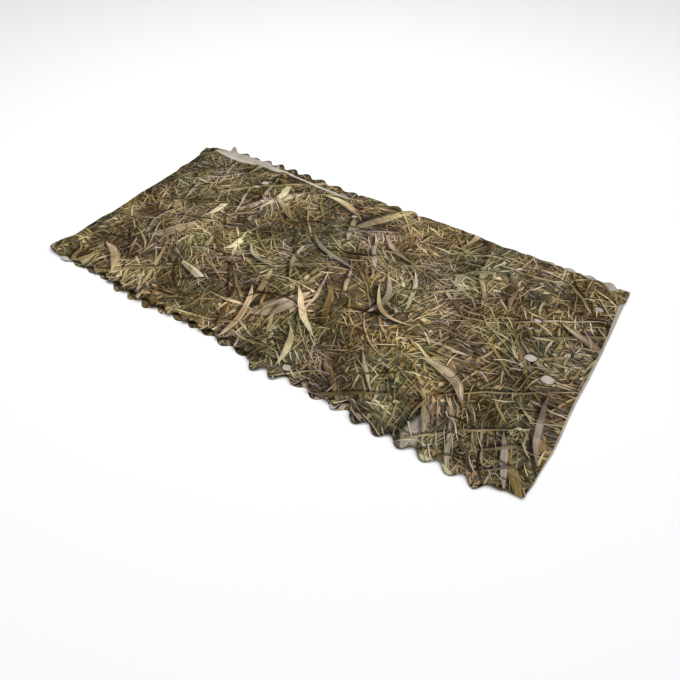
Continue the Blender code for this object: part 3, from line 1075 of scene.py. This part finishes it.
class Wire:
    """An output of a shader node, on which sums are written as plain arithmetic."""

    def __init__(self, board, socket):
        self.board = board
        self.socket = socket

    def maths(self, operation, *others):
        values = dict(enumerate((self, *others)))
        return self.board.node("ShaderNodeMath", {"operation": operation}, values)

    def maths_after(self, operation, other):
        """The same with the other value first."""
        return self.board.node("ShaderNodeMath", {"operation": operation}, {0: other, 1: self})

    def __add__(self, other):
        return self.maths('ADD', other)

    def __radd__(self, other):
        return self.maths('ADD', other)

    def __sub__(self, other):
        return self.maths('SUBTRACT', other)

    def __rsub__(self, other):
        return self.maths_after('SUBTRACT', other)

    def __mul__(self, other):
        return self.maths('MULTIPLY', other)

    def __rmul__(self, other):
        return self.maths('MULTIPLY', other)

    def __truediv__(self, other):
        return self.maths('DIVIDE', other)

    def __rtruediv__(self, other):
        return self.maths_after('DIVIDE', other)

    def __abs__(self):
        return self.maths('ABSOLUTE')

    def __lt__(self, other):
        return self.maths('LESS_THAN', other)

    def at_least(self, other):
        return self.maths('MAXIMUM', other)

    def whole(self):
        return self.maths('FLOOR')

    def fraction(self):
        return self.maths('FRACT')

    def sine(self):
        return self.maths('SINE')

    def cosine(self):
        return self.maths('COSINE')


class Board:
    """A node tree, on which one method lays every node."""

    def __init__(self, tree):
        self.tree = tree

    def feed(self, socket, value):
        if isinstance(value, Wire):
            self.tree.links.new(value.socket, socket)
        else:
            socket.default_value = value

    def node(self, kind, settings=None, values=None, out=0):
        """Lay a node, set it up, then feed its sockets. Returns one of its outputs."""
        node = self.tree.nodes.new(kind)
        for name, value in (settings or {}).items():
            if name == "stops":
                self.set_stops(node.color_ramp, value)
            else:
                setattr(node, name, value)
        for key, value in (values or {}).items():
            self.feed(node.inputs[key], value)
        return Wire(self, node.outputs[out])

    def other(self, wire, out):
        """Another output of the node that a wire comes from."""
        return Wire(self, wire.socket.node.outputs[out])

    @staticmethod
    def set_stops(ramp, stops):
        while len(ramp.elements) < len(stops):
            ramp.elements.new(0.5)
        for element, (place, colour) in zip(ramp.elements, stops):
            element.position = place
            element.color = colour

    def ramp(self, stops, value):
        return self.node("ShaderNodeValToRGB", {"stops": stops}, {0: value})

    def vector_maths(self, operation, first, second):
        return self.node("ShaderNodeVectorMath", {"operation": operation}, {0: first, 1: second})

    def blend(self, factor, first, second, way='MIX', clamp=True):
        settings = {"data_type": 'RGBA', "blend_type": way, "clamp_factor": clamp}
        return self.node("ShaderNodeMix", settings, {0: factor, 6: first, 7: second}, out=2)

    def dim(self, colour, factor):
        """A colour multiplied by a plain number."""
        return self.blend(factor, BLACK, colour, clamp=False)

    def step(self, value, low, high, at_low=0.0, at_high=1.0):
        settings = {"interpolation_type": 'SMOOTHSTEP', "clamp": False}
        values = {0: value, 1: low, 2: high, 3: at_low, 4: at_high}
        return self.node("ShaderNodeMapRange", settings, values)

    def clouds(self, place, scale, detail=2.0, roughness=0.5, out=0, offset=(0.0, 0.0, 0.0)):
        """Soft noise over the cloth; out 0 is a number, 1 a colour."""
        moved = self.vector_maths('ADD', place, offset)
        values = {"Vector": moved, "Scale": scale, "Detail": detail, "Roughness": roughness}
        return self.node("ShaderNodeTexNoise", {"noise_dimensions": '2D'}, values, out=out)

    def waver(self, number, scale, detail=1.0):
        """Soft noise along a single number, from 0 to 1."""
        values = {"W": number, "Scale": scale, "Detail": detail}
        return self.node("ShaderNodeTexNoise", {"noise_dimensions": '1D'}, values)

    def chance(self, number):
        """A random number, from 0 to 1, for each whole number."""
        return ((number * 12.9898).sine() * 43758.5453).fraction()

    def chances(self, number):
        """Three random numbers, from 0 to 1, for each whole number."""
        settings = {"noise_dimensions": '1D'}
        return self.channels(self.node("ShaderNodeTexWhiteNoise", settings, {"W": number}, out=1))

    def channels(self, colour):
        red = self.node("ShaderNodeSeparateColor", None, {0: colour})
        return red, self.other(red, 1), self.other(red, 2)

    def parts(self, vector):
        x = self.node("ShaderNodeSeparateXYZ", None, {0: vector})
        return x, self.other(x, 1)


BLACK = (0.0, 0.0, 0.0, 1.0)
TINY = 0.00001


class Mark(NamedTuple):
    """One printing of tapered marks, laid in staggered cells."""

    turn: float
    cell: tuple
    size: tuple
    share: float
    fan: float
    bend: float
    shade: float
    fibres: float
    wavy: float
    region: int
    gather: float
    colours: str


# Printings of marks, from the first to the last. turn: degrees, 90 is across the pack; cell:
# width and length of the cells, in which one mark each lies; size: width and length of the
# marks; share: share of the cells that hold one; fan: spread of their turns, in radians; bend:
# how much they curve; shade: depth of the shadow beside them; fibres: light and shade along
# their fibres; wavy: share of the common waviness; region and gather: the region they keep to,
# and how strongly; colours: what they pick from, from darker to paler regions
MARKS = (
    Mark(90, (0.011, 0.016), (0.0052, 0.0150), 0.85, 6.28, 9.0, 0.30, 0.5, 1.0, 0, 0.3,
         "shadow bark lichen olive straw"),
    Mark(62, (0.007, 0.052), (0.0030, 0.0500), 0.65, 0.08, 1.5, 0.35, 0.8, 1.0, 0, 0.7,
         "bark lichen olive ochre straw"),
    Mark(150, (0.008, 0.048), (0.0030, 0.0460), 0.55, 0.10, 2.0, 0.40, 0.8, 1.0, 1, 0.7,
         "bark shadow lilac olive straw"),
    Mark(20, (0.009, 0.060), (0.0030, 0.0580), 0.50, 0.10, 2.0, 0.40, 0.8, 1.0, 2, 0.7,
         "shadow bark ochre straw olive"),
    Mark(124, (0.060, 0.190), (0.0170, 0.1700), 0.45, 0.12, 0.8, 0.50, 0.9, 0.6, 1, 0.4,
         "bark lichen bark ochre olive"),
    Mark(72, (0.016, 0.240), (0.0046, 0.2300), 0.55, 0.03, 0.2, 0.50, 0.8, 0.8, 2, 0.7,
         "bark olive ochre straw olive"),
    Mark(106, (0.010, 0.085), (0.0036, 0.0820), 0.50, 0.08, 0.8, 0.50, 0.8, 1.0, 0, 0.9,
         "bark ochre olive straw ochre"),
    Mark(90, (0.016, 0.022), (0.0070, 0.0200), 0.35, 6.28, 9.0, 0.45, 0.5, 1.0, 1, 0.8,
         "lichen ochre straw ochre cream"),
    Mark(168, (0.012, 0.095), (0.0040, 0.0900), 0.50, 0.08, 0.8, 0.50, 0.8, 1.0, 2, 0.9,
         "bark lilac olive straw cream"),
    Mark(63, (0.180, 0.250), (0.0280, 0.2000), 0.50, 0.30, 4.0, 0.60, 1.1, 0.5, 1, 0.3,
         "olive lilac straw lilac cream"),
    Mark(112, (0.050, 0.210), (0.0110, 0.1900), 0.50, 0.12, 0.8, 0.60, 0.9, 0.7, 0, 0.5,
         "bark olive straw lilac cream"),
    Mark(5, (0.032, 0.140), (0.0050, 0.1300), 0.45, 0.16, 1.5, 0.55, 0.8, 0.8, 1, 0.5,
         "shadow bark olive straw cream"),
    Mark(140, (0.034, 0.150), (0.0060, 0.1400), 0.45, 0.16, 1.2, 0.55, 0.8, 0.8, 2, 0.5,
         "bark olive ochre straw lilac"),
    Mark(80, (0.012, 0.070), (0.0036, 0.0660), 0.35, 0.10, 1.5, 0.50, 0.8, 1.0, 1, 1.1,
         "ochre straw ochre straw cream"),
    Mark(36, (0.040, 0.330), (0.0075, 0.3100), 0.45, 0.06, 0.4, 0.60, 0.9, 0.6, 0, 0.5,
         "bark olive straw bark lilac"),
    Mark(100, (0.120, 0.200), (0.0130, 0.1700), 0.50, 0.30, 6.0, 0.65, 0.9, 0.5, 2, 0.4,
         "bark lilac straw cream straw"),
    Mark(128, (0.140, 0.240), (0.0060, 0.2000), 0.50, 0.50, 7.0, 0.60, 0.8, 1.0, 0, 0.0,
         "shadow bark shadow bark olive"),
    Mark(30, (0.160, 0.220), (0.0054, 0.1800), 0.45, 0.50, 7.0, 0.60, 0.8, 1.0, 1, 0.0,
         "shadow bark shadow bark olive"),
    Mark(155, (0.146, 0.212), (0.0170, 0.1700), 0.55, 0.40, 6.0, 0.65, 1.0, 0.4, 0, 0.3,
         "olive lilac straw cream cream"),
    Mark(130, (0.014, 0.060), (0.0026, 0.0560), 0.25, 0.14, 2.0, 0.45, 0.5, 1.0, 0, 1.1,
         "olive straw cream straw cream"),
    Mark(30, (0.016, 0.068), (0.0028, 0.0640), 0.25, 0.14, 2.0, 0.45, 0.5, 1.0, 2, 1.1,
         "ochre straw cream straw lilac"),
)

# Waviness of the print: scale and reach of its broad waves and of its ripples
WAVES = 3.4
WAVES_REACH = 0.050
RIPPLES = 13.0
RIPPLES_REACH = 0.010

# Regions of the print: their scale, offset and spread, and how they shift the colours picked,
# whose span and start without them follow
REGIONS = 5.0
REGIONS_OFFSET = (7.0, 2.0, 0.0)
REGIONS_SPREAD = 2.4
REGION_PICK = 0.45
PICK_SPAN = 0.8
PICK_START = 0.1

# Mottled ground under the marks: its scale, how the regions shift it, and its stops
GROUND_SCALE = 60.0
GROUND_SHIFT = 0.12
GROUND_STOPS = ((0.28, "shadow"), (0.45, "bark"), (0.56, "lichen"), (0.70, "olive"))

# Soft tints over the whole print, as rows of: scale, offset, stops of colours to multiply by
TINTS = (
    (4.0, 3.0, (
        (0.34, (1.04, 1.05, 1.06, 1.0)), (0.50, (1.19, 1.15, 1.06, 1.0)),
        (0.66, (1.37, 1.26, 1.05, 1.0)))),
    (7.0, 5.0, (
        (0.34, (1.08, 1.00, 1.06, 1.0)), (0.50, (1.04, 1.02, 0.96, 1.0)),
        (0.66, (0.98, 1.04, 0.90, 1.0)))),
    (11.0, 9.0, (
        (0.32, (0.62, 0.58, 0.52, 1.0)), (0.50, (1.00, 1.00, 1.00, 1.0)),
        (0.68, (1.34, 1.33, 1.32, 1.0)))),
)
PRINT_SCALE = 1.25
MARK_PLACES = ("X", "Y", "Region")
MARK_SIZES = (
    "Turn", "Cell Width", "Cell Length", "Width", "Length", "Share", "Fan", "Bend", "Fibres",
    "Gather", "Seed",
)
MARK_OUTPUTS = ("Cover", "Pick", "Light", "Shadow")

# Chances of a mark: strides from column to column, row to row and printing to printing, and
# the factors that mix its chances into others
COLUMN_STRIDE = 71.3
ROW_STRIDE = 1.37
PRINTING_STRIDE = 13.7
MIX_FOURTH = (7.31, 3.17)
MIX_USED = 9.7
MIX_PICK = 5.17

# Shape of a mark: how far it strays from its cell's middle, the chance and least shares of its
# length and width, its shadow's width, and from and to where its cell, its edge, its shadow and
# its shadow's ends fade
STRAY = 0.3
LENGTH_SHARES = (0.4, 0.6)
WIDTH_SHARES = (0.9, 0.55)
SHADOW_WIDTH = 0.4
CELL_FADE = (0.5, 0.46)
EDGE_FADE = (1.0, 0.8)
SHADOW_FADE = (1.0, 0.3)
SHADOW_ENDS_FADE = (1.05, 0.85)

# Light on a mark: its slope across, its veins' spacing and stride, the stride, scale and depth
# of the patches along it, and its darker edges
CROSS_LIGHT = 0.16
VEINS = (1.6, 37.0)
PATCH_STRIDE = 11.0
PATCH_SCALE = 40.0
PATCH_DEPTH = 0.5
DARKER_EDGES = (0.6, 1.0, 1.0, 0.7)


def mark_group():
    """Node group that lays one printing of tapered marks, one in each staggered cell."""
    tree = bpy.data.node_groups.new("print_marks", "ShaderNodeTree")
    board = Board(tree)
    for name in MARK_PLACES + MARK_SIZES:
        tree.interface.new_socket(name, in_out='INPUT', socket_type='NodeSocketFloat')
    for name in MARK_OUTPUTS:
        tree.interface.new_socket(name, in_out='OUTPUT', socket_type='NodeSocketFloat')
    start = board.node("NodeGroupInput")
    given = {name: board.other(start, name) for name in MARK_PLACES + MARK_SIZES}
    x, y, region = (given[name] for name in MARK_PLACES)
    cell_width, cell_length = given["Cell Width"], given["Cell Length"]
    width, length, seed = given["Width"], given["Length"], given["Seed"]
    turn_sine, turn_cosine = given["Turn"].sine(), given["Turn"].cosine()
    column = (x * turn_sine - y * turn_cosine) / cell_width + seed
    row = (y * turn_sine + x * turn_cosine) / cell_length + board.chance(column.whole())
    number = column.whole() * COLUMN_STRIDE + row.whole() * ROW_STRIDE + seed
    first, second, third = board.chances(number)
    fourth = (first * MIX_FOURTH[0] + third * MIX_FOURTH[1]).fraction()
    from_middle = column.fraction() - 0.5
    u = (from_middle + (fourth - 0.5) * STRAY) * cell_width
    v = (row.fraction() - 0.5) * cell_length
    tilt = (first - 0.5) * given["Fan"]
    sine, cosine = tilt.sine(), tilt.cosine()
    along = v * cosine - u * sine
    across = u * cosine + v * sine + along * along * (second - 0.5) * given["Bend"] * 2.0
    half_length = (third * LENGTH_SHARES[0] + LENGTH_SHARES[1]) * length * 0.5
    reach = abs(along) / half_length
    taper = (1.0 - reach * reach).at_least(0.0)
    half = (second * WIDTH_SHARES[0] + WIDTH_SHARES[1]) * taper * width * 0.5
    side = across / half.at_least(TINY)
    used = (third * MIX_USED).fraction() < given["Share"] + region * given["Gather"]
    inside = board.step(abs(from_middle), *CELL_FADE) * used
    cover = board.step(abs(side), *EDGE_FADE) * inside
    beside = width * SHADOW_WIDTH
    shadow = board.step(abs((across + beside) / (half + beside)), *SHADOW_FADE) * inside
    shadow = shadow * board.step(reach, *SHADOW_ENDS_FADE)
    pick = (second * MIX_PICK + fourth).fraction()
    veins = board.waver(side * VEINS[0] + pick * VEINS[1], 1.0) - 0.5
    patches = board.waver(along + pick * PATCH_STRIDE, PATCH_SCALE) - 0.5
    light = side * CROSS_LIGHT + veins * given["Fibres"] + patches * PATCH_DEPTH + 1.0
    light = light * board.step(abs(side), *DARKER_EDGES)
    results = dict(zip(MARK_OUTPUTS, (cover, pick, light, shadow)))
    ends = tree.nodes.new("NodeGroupOutput")
    for name, wire in results.items():
        board.feed(ends.inputs[name], wire)
    return tree


def print_colour(board, place, colours):
    """The print: a mottled ground, then marks laid over each other."""
    waves = board.channels(board.clouds(place, WAVES, detail=0.0, out=1))
    ripples = board.channels(board.clouds(place, RIPPLES, detail=1.0, out=1))
    wander = [
        (wave - 0.5) * (WAVES_REACH * 2.0) + (ripple - 0.5) * (RIPPLES_REACH * 2.0)
        for wave, ripple in zip(waves[:2], ripples[:2])
    ]
    cloudy = board.clouds(place, REGIONS, detail=2.0, out=1, offset=REGIONS_OFFSET)
    regions = [(region - 0.5) * REGIONS_SPREAD for region in board.channels(cloudy)]
    x, y = board.parts(place)
    ground = board.clouds(place, GROUND_SCALE, detail=4.0, roughness=0.65)
    stops = [(stop, getattr(colours, name)) for stop, name in GROUND_STOPS]
    paint = board.ramp(stops, ground + regions[1] * GROUND_SHIFT)
    group = mark_group()
    for number, mark in enumerate(MARKS, start=1):
        region = regions[mark.region]
        sizes = (
            math.radians(mark.turn), *mark.cell, *mark.size, mark.share, mark.fan, mark.bend,
            mark.fibres, mark.gather, number * PRINTING_STRIDE,
        )
        values = dict(zip(MARK_SIZES, sizes))
        values["X"] = (x + wander[0] * mark.wavy) * (1 / PRINT_SCALE)
        values["Y"] = (y + wander[1] * mark.wavy) * (1 / PRINT_SCALE)
        values["Region"] = region
        cover = board.node("ShaderNodeGroup", {"node_tree": group}, values)
        pick, light, shadow = (board.other(cover, name) for name in MARK_OUTPUTS[1:])
        names = mark.colours.split()
        stops = [(i / (len(names) - 1), getattr(colours, name)) for i, name in enumerate(names)]
        colour = board.ramp(stops, pick * PICK_SPAN + PICK_START + region * REGION_PICK)
        paint = board.dim(paint, 1.0 - shadow * mark.shade)
        paint = board.blend(cover, paint, board.dim(colour, light))
    for scale, offset, tints in TINTS:
        tone = board.clouds(place, scale, detail=2.0, offset=(offset, offset, 0.0))
        paint = board.blend(1.0, paint, board.ramp(tints, tone), way='MULTIPLY')
    return paint


def new_material(name):
    """A material with its board and its shader."""
    material = bpy.data.materials.new(name)
    material.use_nodes = True
    return material, Board(material.node_tree), material.node_tree.nodes["Principled BSDF"]


def cloth_place(board):
    return board.node("ShaderNodeUVMap", {"uv_map": "Cloth"})


# Felted cloth: how high its fibres stand and how little it shines
FIBRE_HEIGHT = 0.0004
SHINE = 0.05


def felted(board, shader, paint, roughness, height, strength):
    """Feed a fibrous, dull cloth's colour, roughness and bump to its shader."""
    board.feed(shader.inputs["Base Color"], paint)
    board.feed(shader.inputs["Roughness"], roughness)
    values = {"Strength": strength, "Distance": FIBRE_HEIGHT, "Height": height}
    board.feed(shader.inputs["Normal"], board.node("ShaderNodeBump", None, values))
    board.feed(shader.inputs["Specular IOR Level"], SHINE)


# Printed side: scales of its fibres and wear, depth of its fibres, the darker stretch beside the
# upper fold, darker print and painted shade where the fold rounds away from the light, from and
# to and from what shade to what, with the scale and reach of its unevenness, and the rim looks
# from and to which rims are dark, singed with painted shade, and pale, frayed with painted
# highlight
PRINT_FIBRES = 900.0
PRINT_FIBRES_DEPTH = 0.30
PRINT_WEAR = 60.0
FOLD_SHADE = (0.010, 0.060, 0.58, 1.0)
FOLD_WANDER = 9.0
FOLD_WANDER_REACH = 0.04
RIM_UNEVEN = 0.2
SINGED_AND_SHADED = (0.50, 0.95, 1.0, 0.30)
FRAYED_AND_HIGHLIT = (0.80, 0.97)
FRAYED_AND_HIGHLIT_COVER = 0.75


def printed_face(colours):
    """Printed side: the print over felted fibres, darker print and painted shade by the upper
    fold, and singed and frayed rims, partly painted shade and highlight.
    """
    material, board, shader = new_material("net_printed_face")
    place = cloth_place(board)
    paint = print_colour(board, place, colours)
    fibres = board.clouds(place, PRINT_FIBRES, detail=3.0, roughness=0.7)
    worn = board.clouds(place, PRINT_WEAR, detail=3.0)
    # Darker print and painted shade beside the upper fold, where the cloth rounds away from the
    # light
    wander = (board.clouds(place, FOLD_WANDER, detail=2.0) - 0.5) * FOLD_WANDER_REACH
    from_fold = abs(board.parts(place)[0] + HALF_LENGTH) + wander
    shade = (fibres - 0.5) * PRINT_FIBRES_DEPTH + board.step(from_fold, *FOLD_SHADE)
    paint = board.dim(paint, shade)
    # Rims: dark, singed with painted shade, and pale, frayed with painted highlight
    rim = board.node("ShaderNodeAttribute", {"attribute_name": "rim"}, out=2)
    uneven = (worn - 0.5) * RIM_UNEVEN
    paint = board.dim(paint, board.step(uneven - rim, *SINGED_AND_SHADED))
    frayed_and_highlit = board.step(rim + uneven, *FRAYED_AND_HIGHLIT) * FRAYED_AND_HIGHLIT_COVER
    paint = board.blend(frayed_and_highlit, paint, tuple(colours.reverse))
    felted(board, shader, paint, worn * 0.16 + 0.72, fibres, 0.25)
    return material


# Pale reverse: scales and depths of its fibres and clouds; its painted shade along the far edge,
# across the sheet from and to, and towards the right end, along it from and to, and its depth;
# and a stretch along it with less painted shade, its middle, its reach from and to, and how much
# shade it takes off
REVERSE_FIBRES = 700.0
REVERSE_FIBRES_DEPTH = 0.25
REVERSE_CLOUDS = 35.0
REVERSE_CLOUDS_DEPTH = 0.5
SHADED_FAR_EDGE = (0.318, 0.335)
SHADED_RIGHT_END = (-2.085, -2.100)
REVERSE_PAINTED_SHADE = 0.21
UNSHADED_MIDDLE = -1.150
UNSHADED_REACH = (0.125, 0.085)
UNSHADED_LIFT = 1.3


def pale_reverse(colours):
    """Unprinted side: pale felted fibres, with painted shade along the far edge and towards the
    right end.
    """
    material, board, shader = new_material("net_pale_reverse")
    place = cloth_place(board)
    fibres = board.clouds(place, REVERSE_FIBRES, detail=4.0, roughness=0.7)
    cloudy = board.clouds(place, REVERSE_CLOUDS, detail=3.0)
    along, across = board.parts(place)
    # Painted shade along the far edge and towards the right end, less over one stretch along it
    shaded = board.step(across, *SHADED_FAR_EDGE).at_least(board.step(along, *SHADED_RIGHT_END))
    unshaded = board.step(abs(along - UNSHADED_MIDDLE), *UNSHADED_REACH)
    painted_shade = (shaded - unshaded * UNSHADED_LIFT) * REVERSE_PAINTED_SHADE
    fibre_tone = (fibres - 0.5) * REVERSE_FIBRES_DEPTH + (cloudy - 0.5) * REVERSE_CLOUDS_DEPTH + 1.0
    paint = board.dim(tuple(colours.reverse), fibre_tone - painted_shade)
    felted(board, shader, paint, cloudy * 0.1 + 0.82, fibres, 0.3)
    return material


# Cut edge: scale of the dye soaked into it, and from and to where it shows
SOAKING = 160.0
SOAKED = (0.35, 0.65)


def cut_rim(colours):
    """The cut edge: pale fibres, darker where the dye has soaked in."""
    material, board, shader = new_material("net_cut_rim")
    place = cloth_place(board)
    soaked = board.clouds(place, SOAKING, detail=3.0)
    paint = board.blend(board.step(soaked, *SOAKED), tuple(colours.bark), tuple(colours.rim))
    felted(board, shader, paint, soaked * 0.1 + 0.85, soaked, 0.2)
    return material


# ---------------------------------------------------------------------------
# Operators
# ---------------------------------------------------------------------------

SHARP_TURN = math.radians(50)


class NET_OT_cloth(bpy.types.Operator):
    """Make the folded net: three layers of one scalloped, die-cut, printed cloth"""

    bl_idname = "net.cloth"
    bl_label = "Folded Net"

    def execute(self, context):
        sizes = context.scene.net_sizes
        colours = context.scene.net_colours
        sheet = bmesh.new()
        rim = sheet.verts.layers.float.new("rim")
        ends = {}
        parts = {layer: lay_layer(sheet, layer, sizes, ends) for layer in EDGES}
        parts["upper_fold"] = lay_fold(
            sheet, ends["middle"][0], "middle", "top", UPPER_FOLD_RADIUS, -1, sizes
        )
        parts["lower_fold"] = lay_fold(
            sheet, ends["under"][1], "under", "middle", LOWER_FOLD_RADIUS, 1, sizes
        )
        note_cloth_places(sheet, parts)
        loose = [vert for vert in sheet.verts if not vert.link_faces]
        bmesh.ops.delete(sheet, geom=loose, context='VERTS')
        bmesh.ops.remove_doubles(sheet, verts=sheet.verts, dist=WELD_DISTANCE)
        bmesh.ops.recalc_face_normals(sheet, faces=sheet.faces)
        if parts["top"][0].normal.z < 0.0:
            bmesh.ops.reverse_faces(sheet, faces=sheet.faces)
        for vert in sheet.verts:
            if not vert.is_boundary:
                vert[rim] = max(vert[rim], 0.0)
            vert.co.x += PACK_SHIFT[0]
            vert.co.y += PACK_SHIFT[1]
        mesh = bpy.data.meshes.new("net_sheet")
        sheet.to_mesh(mesh)
        sheet.free()
        net = bpy.data.objects.new("net_sheet", mesh)
        context.scene.collection.objects.link(net)
        for material in (printed_face(colours), pale_reverse(colours), cut_rim(colours)):
            mesh.materials.append(material)
        shell = net.modifiers.new("Thickness", 'SOLIDIFY')
        shell.thickness = sizes.thickness
        shell.offset = 0.0
        shell.use_quality_normals = True
        shell.material_offset = 1
        shell.material_offset_rim = 2
        with context.temp_override(object=net, active_object=net, selected_objects=[net]):
            bpy.ops.object.modifier_apply(modifier=shell.name)
        net.data.shade_smooth()
        net.data.set_sharp_from_angle(angle=SHARP_TURN)
        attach(net, "root")
        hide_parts("net_cloth")
        return {'FINISHED'}


CAMERA_PLACE = (0.7425, -0.9919, 0.958)
CAMERA_PITCH = math.radians(90 - 44.9)
CAMERA_TURN = math.radians(34.23)
CAMERA_LENS = 30.3
SENSOR = 36.0

FLOOR_REACH = 14.0
FLOOR_COLOUR = (0.985, 0.985, 0.985, 1.0)
FLOOR_ROUGHNESS = 0.9

# Lamps, as rows of: name, kind, place, turn in degrees, power
LAMPS = (
    ("overhead", 'AREA', (-0.3, 0.5, 2.6), (0.0, 0.0, 0.0), 43.0),
    ("side", 'SUN', (1.9, 1.8, 1.9), (38.0, 0.0, 140.2), 1.35),
)
OVERHEAD_SIZE = 3.0
SIDE_SPREAD = math.radians(60.0)
ROOM_COLOUR = (1.0, 1.0, 1.0, 1.0)
ROOM_LIGHT = 0.325


def add_floor(scene):
    """A wide floor of plain pale paper."""
    mesh = bpy.data.meshes.new("studio_floor")
    turns = ((-1, -1), (1, -1), (1, 1), (-1, 1))
    corners = [(x * FLOOR_REACH, y * FLOOR_REACH, 0.0) for x, y in turns]
    mesh.from_pydata(corners, [], [(0, 1, 2, 3)])
    floor = bpy.data.objects.new("studio_floor", mesh)
    scene.collection.objects.link(floor)
    paper, board, shader = new_material("studio_paper")
    board.feed(shader.inputs["Base Color"], FLOOR_COLOUR)
    board.feed(shader.inputs["Roughness"], FLOOR_ROUGHNESS)
    mesh.materials.append(paper)


def add_light(scene):
    """A wide lamp overhead, a soft one to the side and an even white room."""
    for name, kind, place, turn, power in LAMPS:
        lamp = bpy.data.lights.new(name, kind)
        if kind == 'AREA':
            lamp.shape = 'SQUARE'
            lamp.size = OVERHEAD_SIZE
        else:
            lamp.angle = SIDE_SPREAD
        lamp.energy = power
        holder = bpy.data.objects.new(name, lamp)
        holder.location = place
        holder.rotation_euler = [math.radians(value) for value in turn]
        scene.collection.objects.link(holder)
    world = bpy.data.worlds.new("studio_world")
    world.use_nodes = True
    room = world.node_tree.nodes["Background"]
    room.inputs["Color"].default_value = ROOM_COLOUR
    room.inputs["Strength"].default_value = ROOM_LIGHT
    scene.world = world
    scene.view_settings.view_transform = 'Standard'


def add_camera(scene):
    """The camera, looking down on the pack from its near right side."""
    camera = bpy.data.cameras.new("studio_camera")
    camera.lens = CAMERA_LENS
    camera.sensor_width = SENSOR
    holder = bpy.data.objects.new("studio_camera", camera)
    holder.location = CAMERA_PLACE
    holder.rotation_euler = (CAMERA_PITCH, 0.0, CAMERA_TURN)
    scene.collection.objects.link(holder)
    scene.camera = holder


class NET_OT_stage(bpy.types.Operator):
    """Make the pale floor, the soft studio light and the camera"""

    bl_idname = "net.stage"
    bl_label = "Studio"

    def execute(self, context):
        add_floor(context.scene)
        add_light(context.scene)
        add_camera(context.scene)
        return {'FINISHED'}


class NET_PT_panel(bpy.types.Panel):
    """Sizes, colours and makers of the net"""

    bl_idname = "NET_PT_panel"
    bl_label = "Camouflage Net"
    bl_space_type = 'VIEW_3D'
    bl_region_type = 'UI'
    bl_category = "Net"

    def draw(self, context):
        column = self.layout.column()
        for group in (context.scene.net_sizes, context.scene.net_colours):
            for name in group.__annotations__:
                column.prop(group, name)
        for operator in OPERATORS:
            column.operator(operator.bl_idname)


OPERATORS = (NET_OT_stage, NET_OT_cloth)
CLASSES = (NetSizes, NetColours, *OPERATORS, NET_PT_panel)


def register():
    for item in CLASSES:
        bpy.utils.register_class(item)
    bpy.types.Scene.net_sizes = PointerProperty(type=NetSizes)
    bpy.types.Scene.net_colours = PointerProperty(type=NetColours)


def unregister():
    del bpy.types.Scene.net_colours
    del bpy.types.Scene.net_sizes
    for item in reversed(CLASSES):
        bpy.utils.unregister_class(item)


def main():
    register()
    bpy.ops.net.stage()
    bpy.ops.net.cloth()


if __name__ == "__main__":
    main()
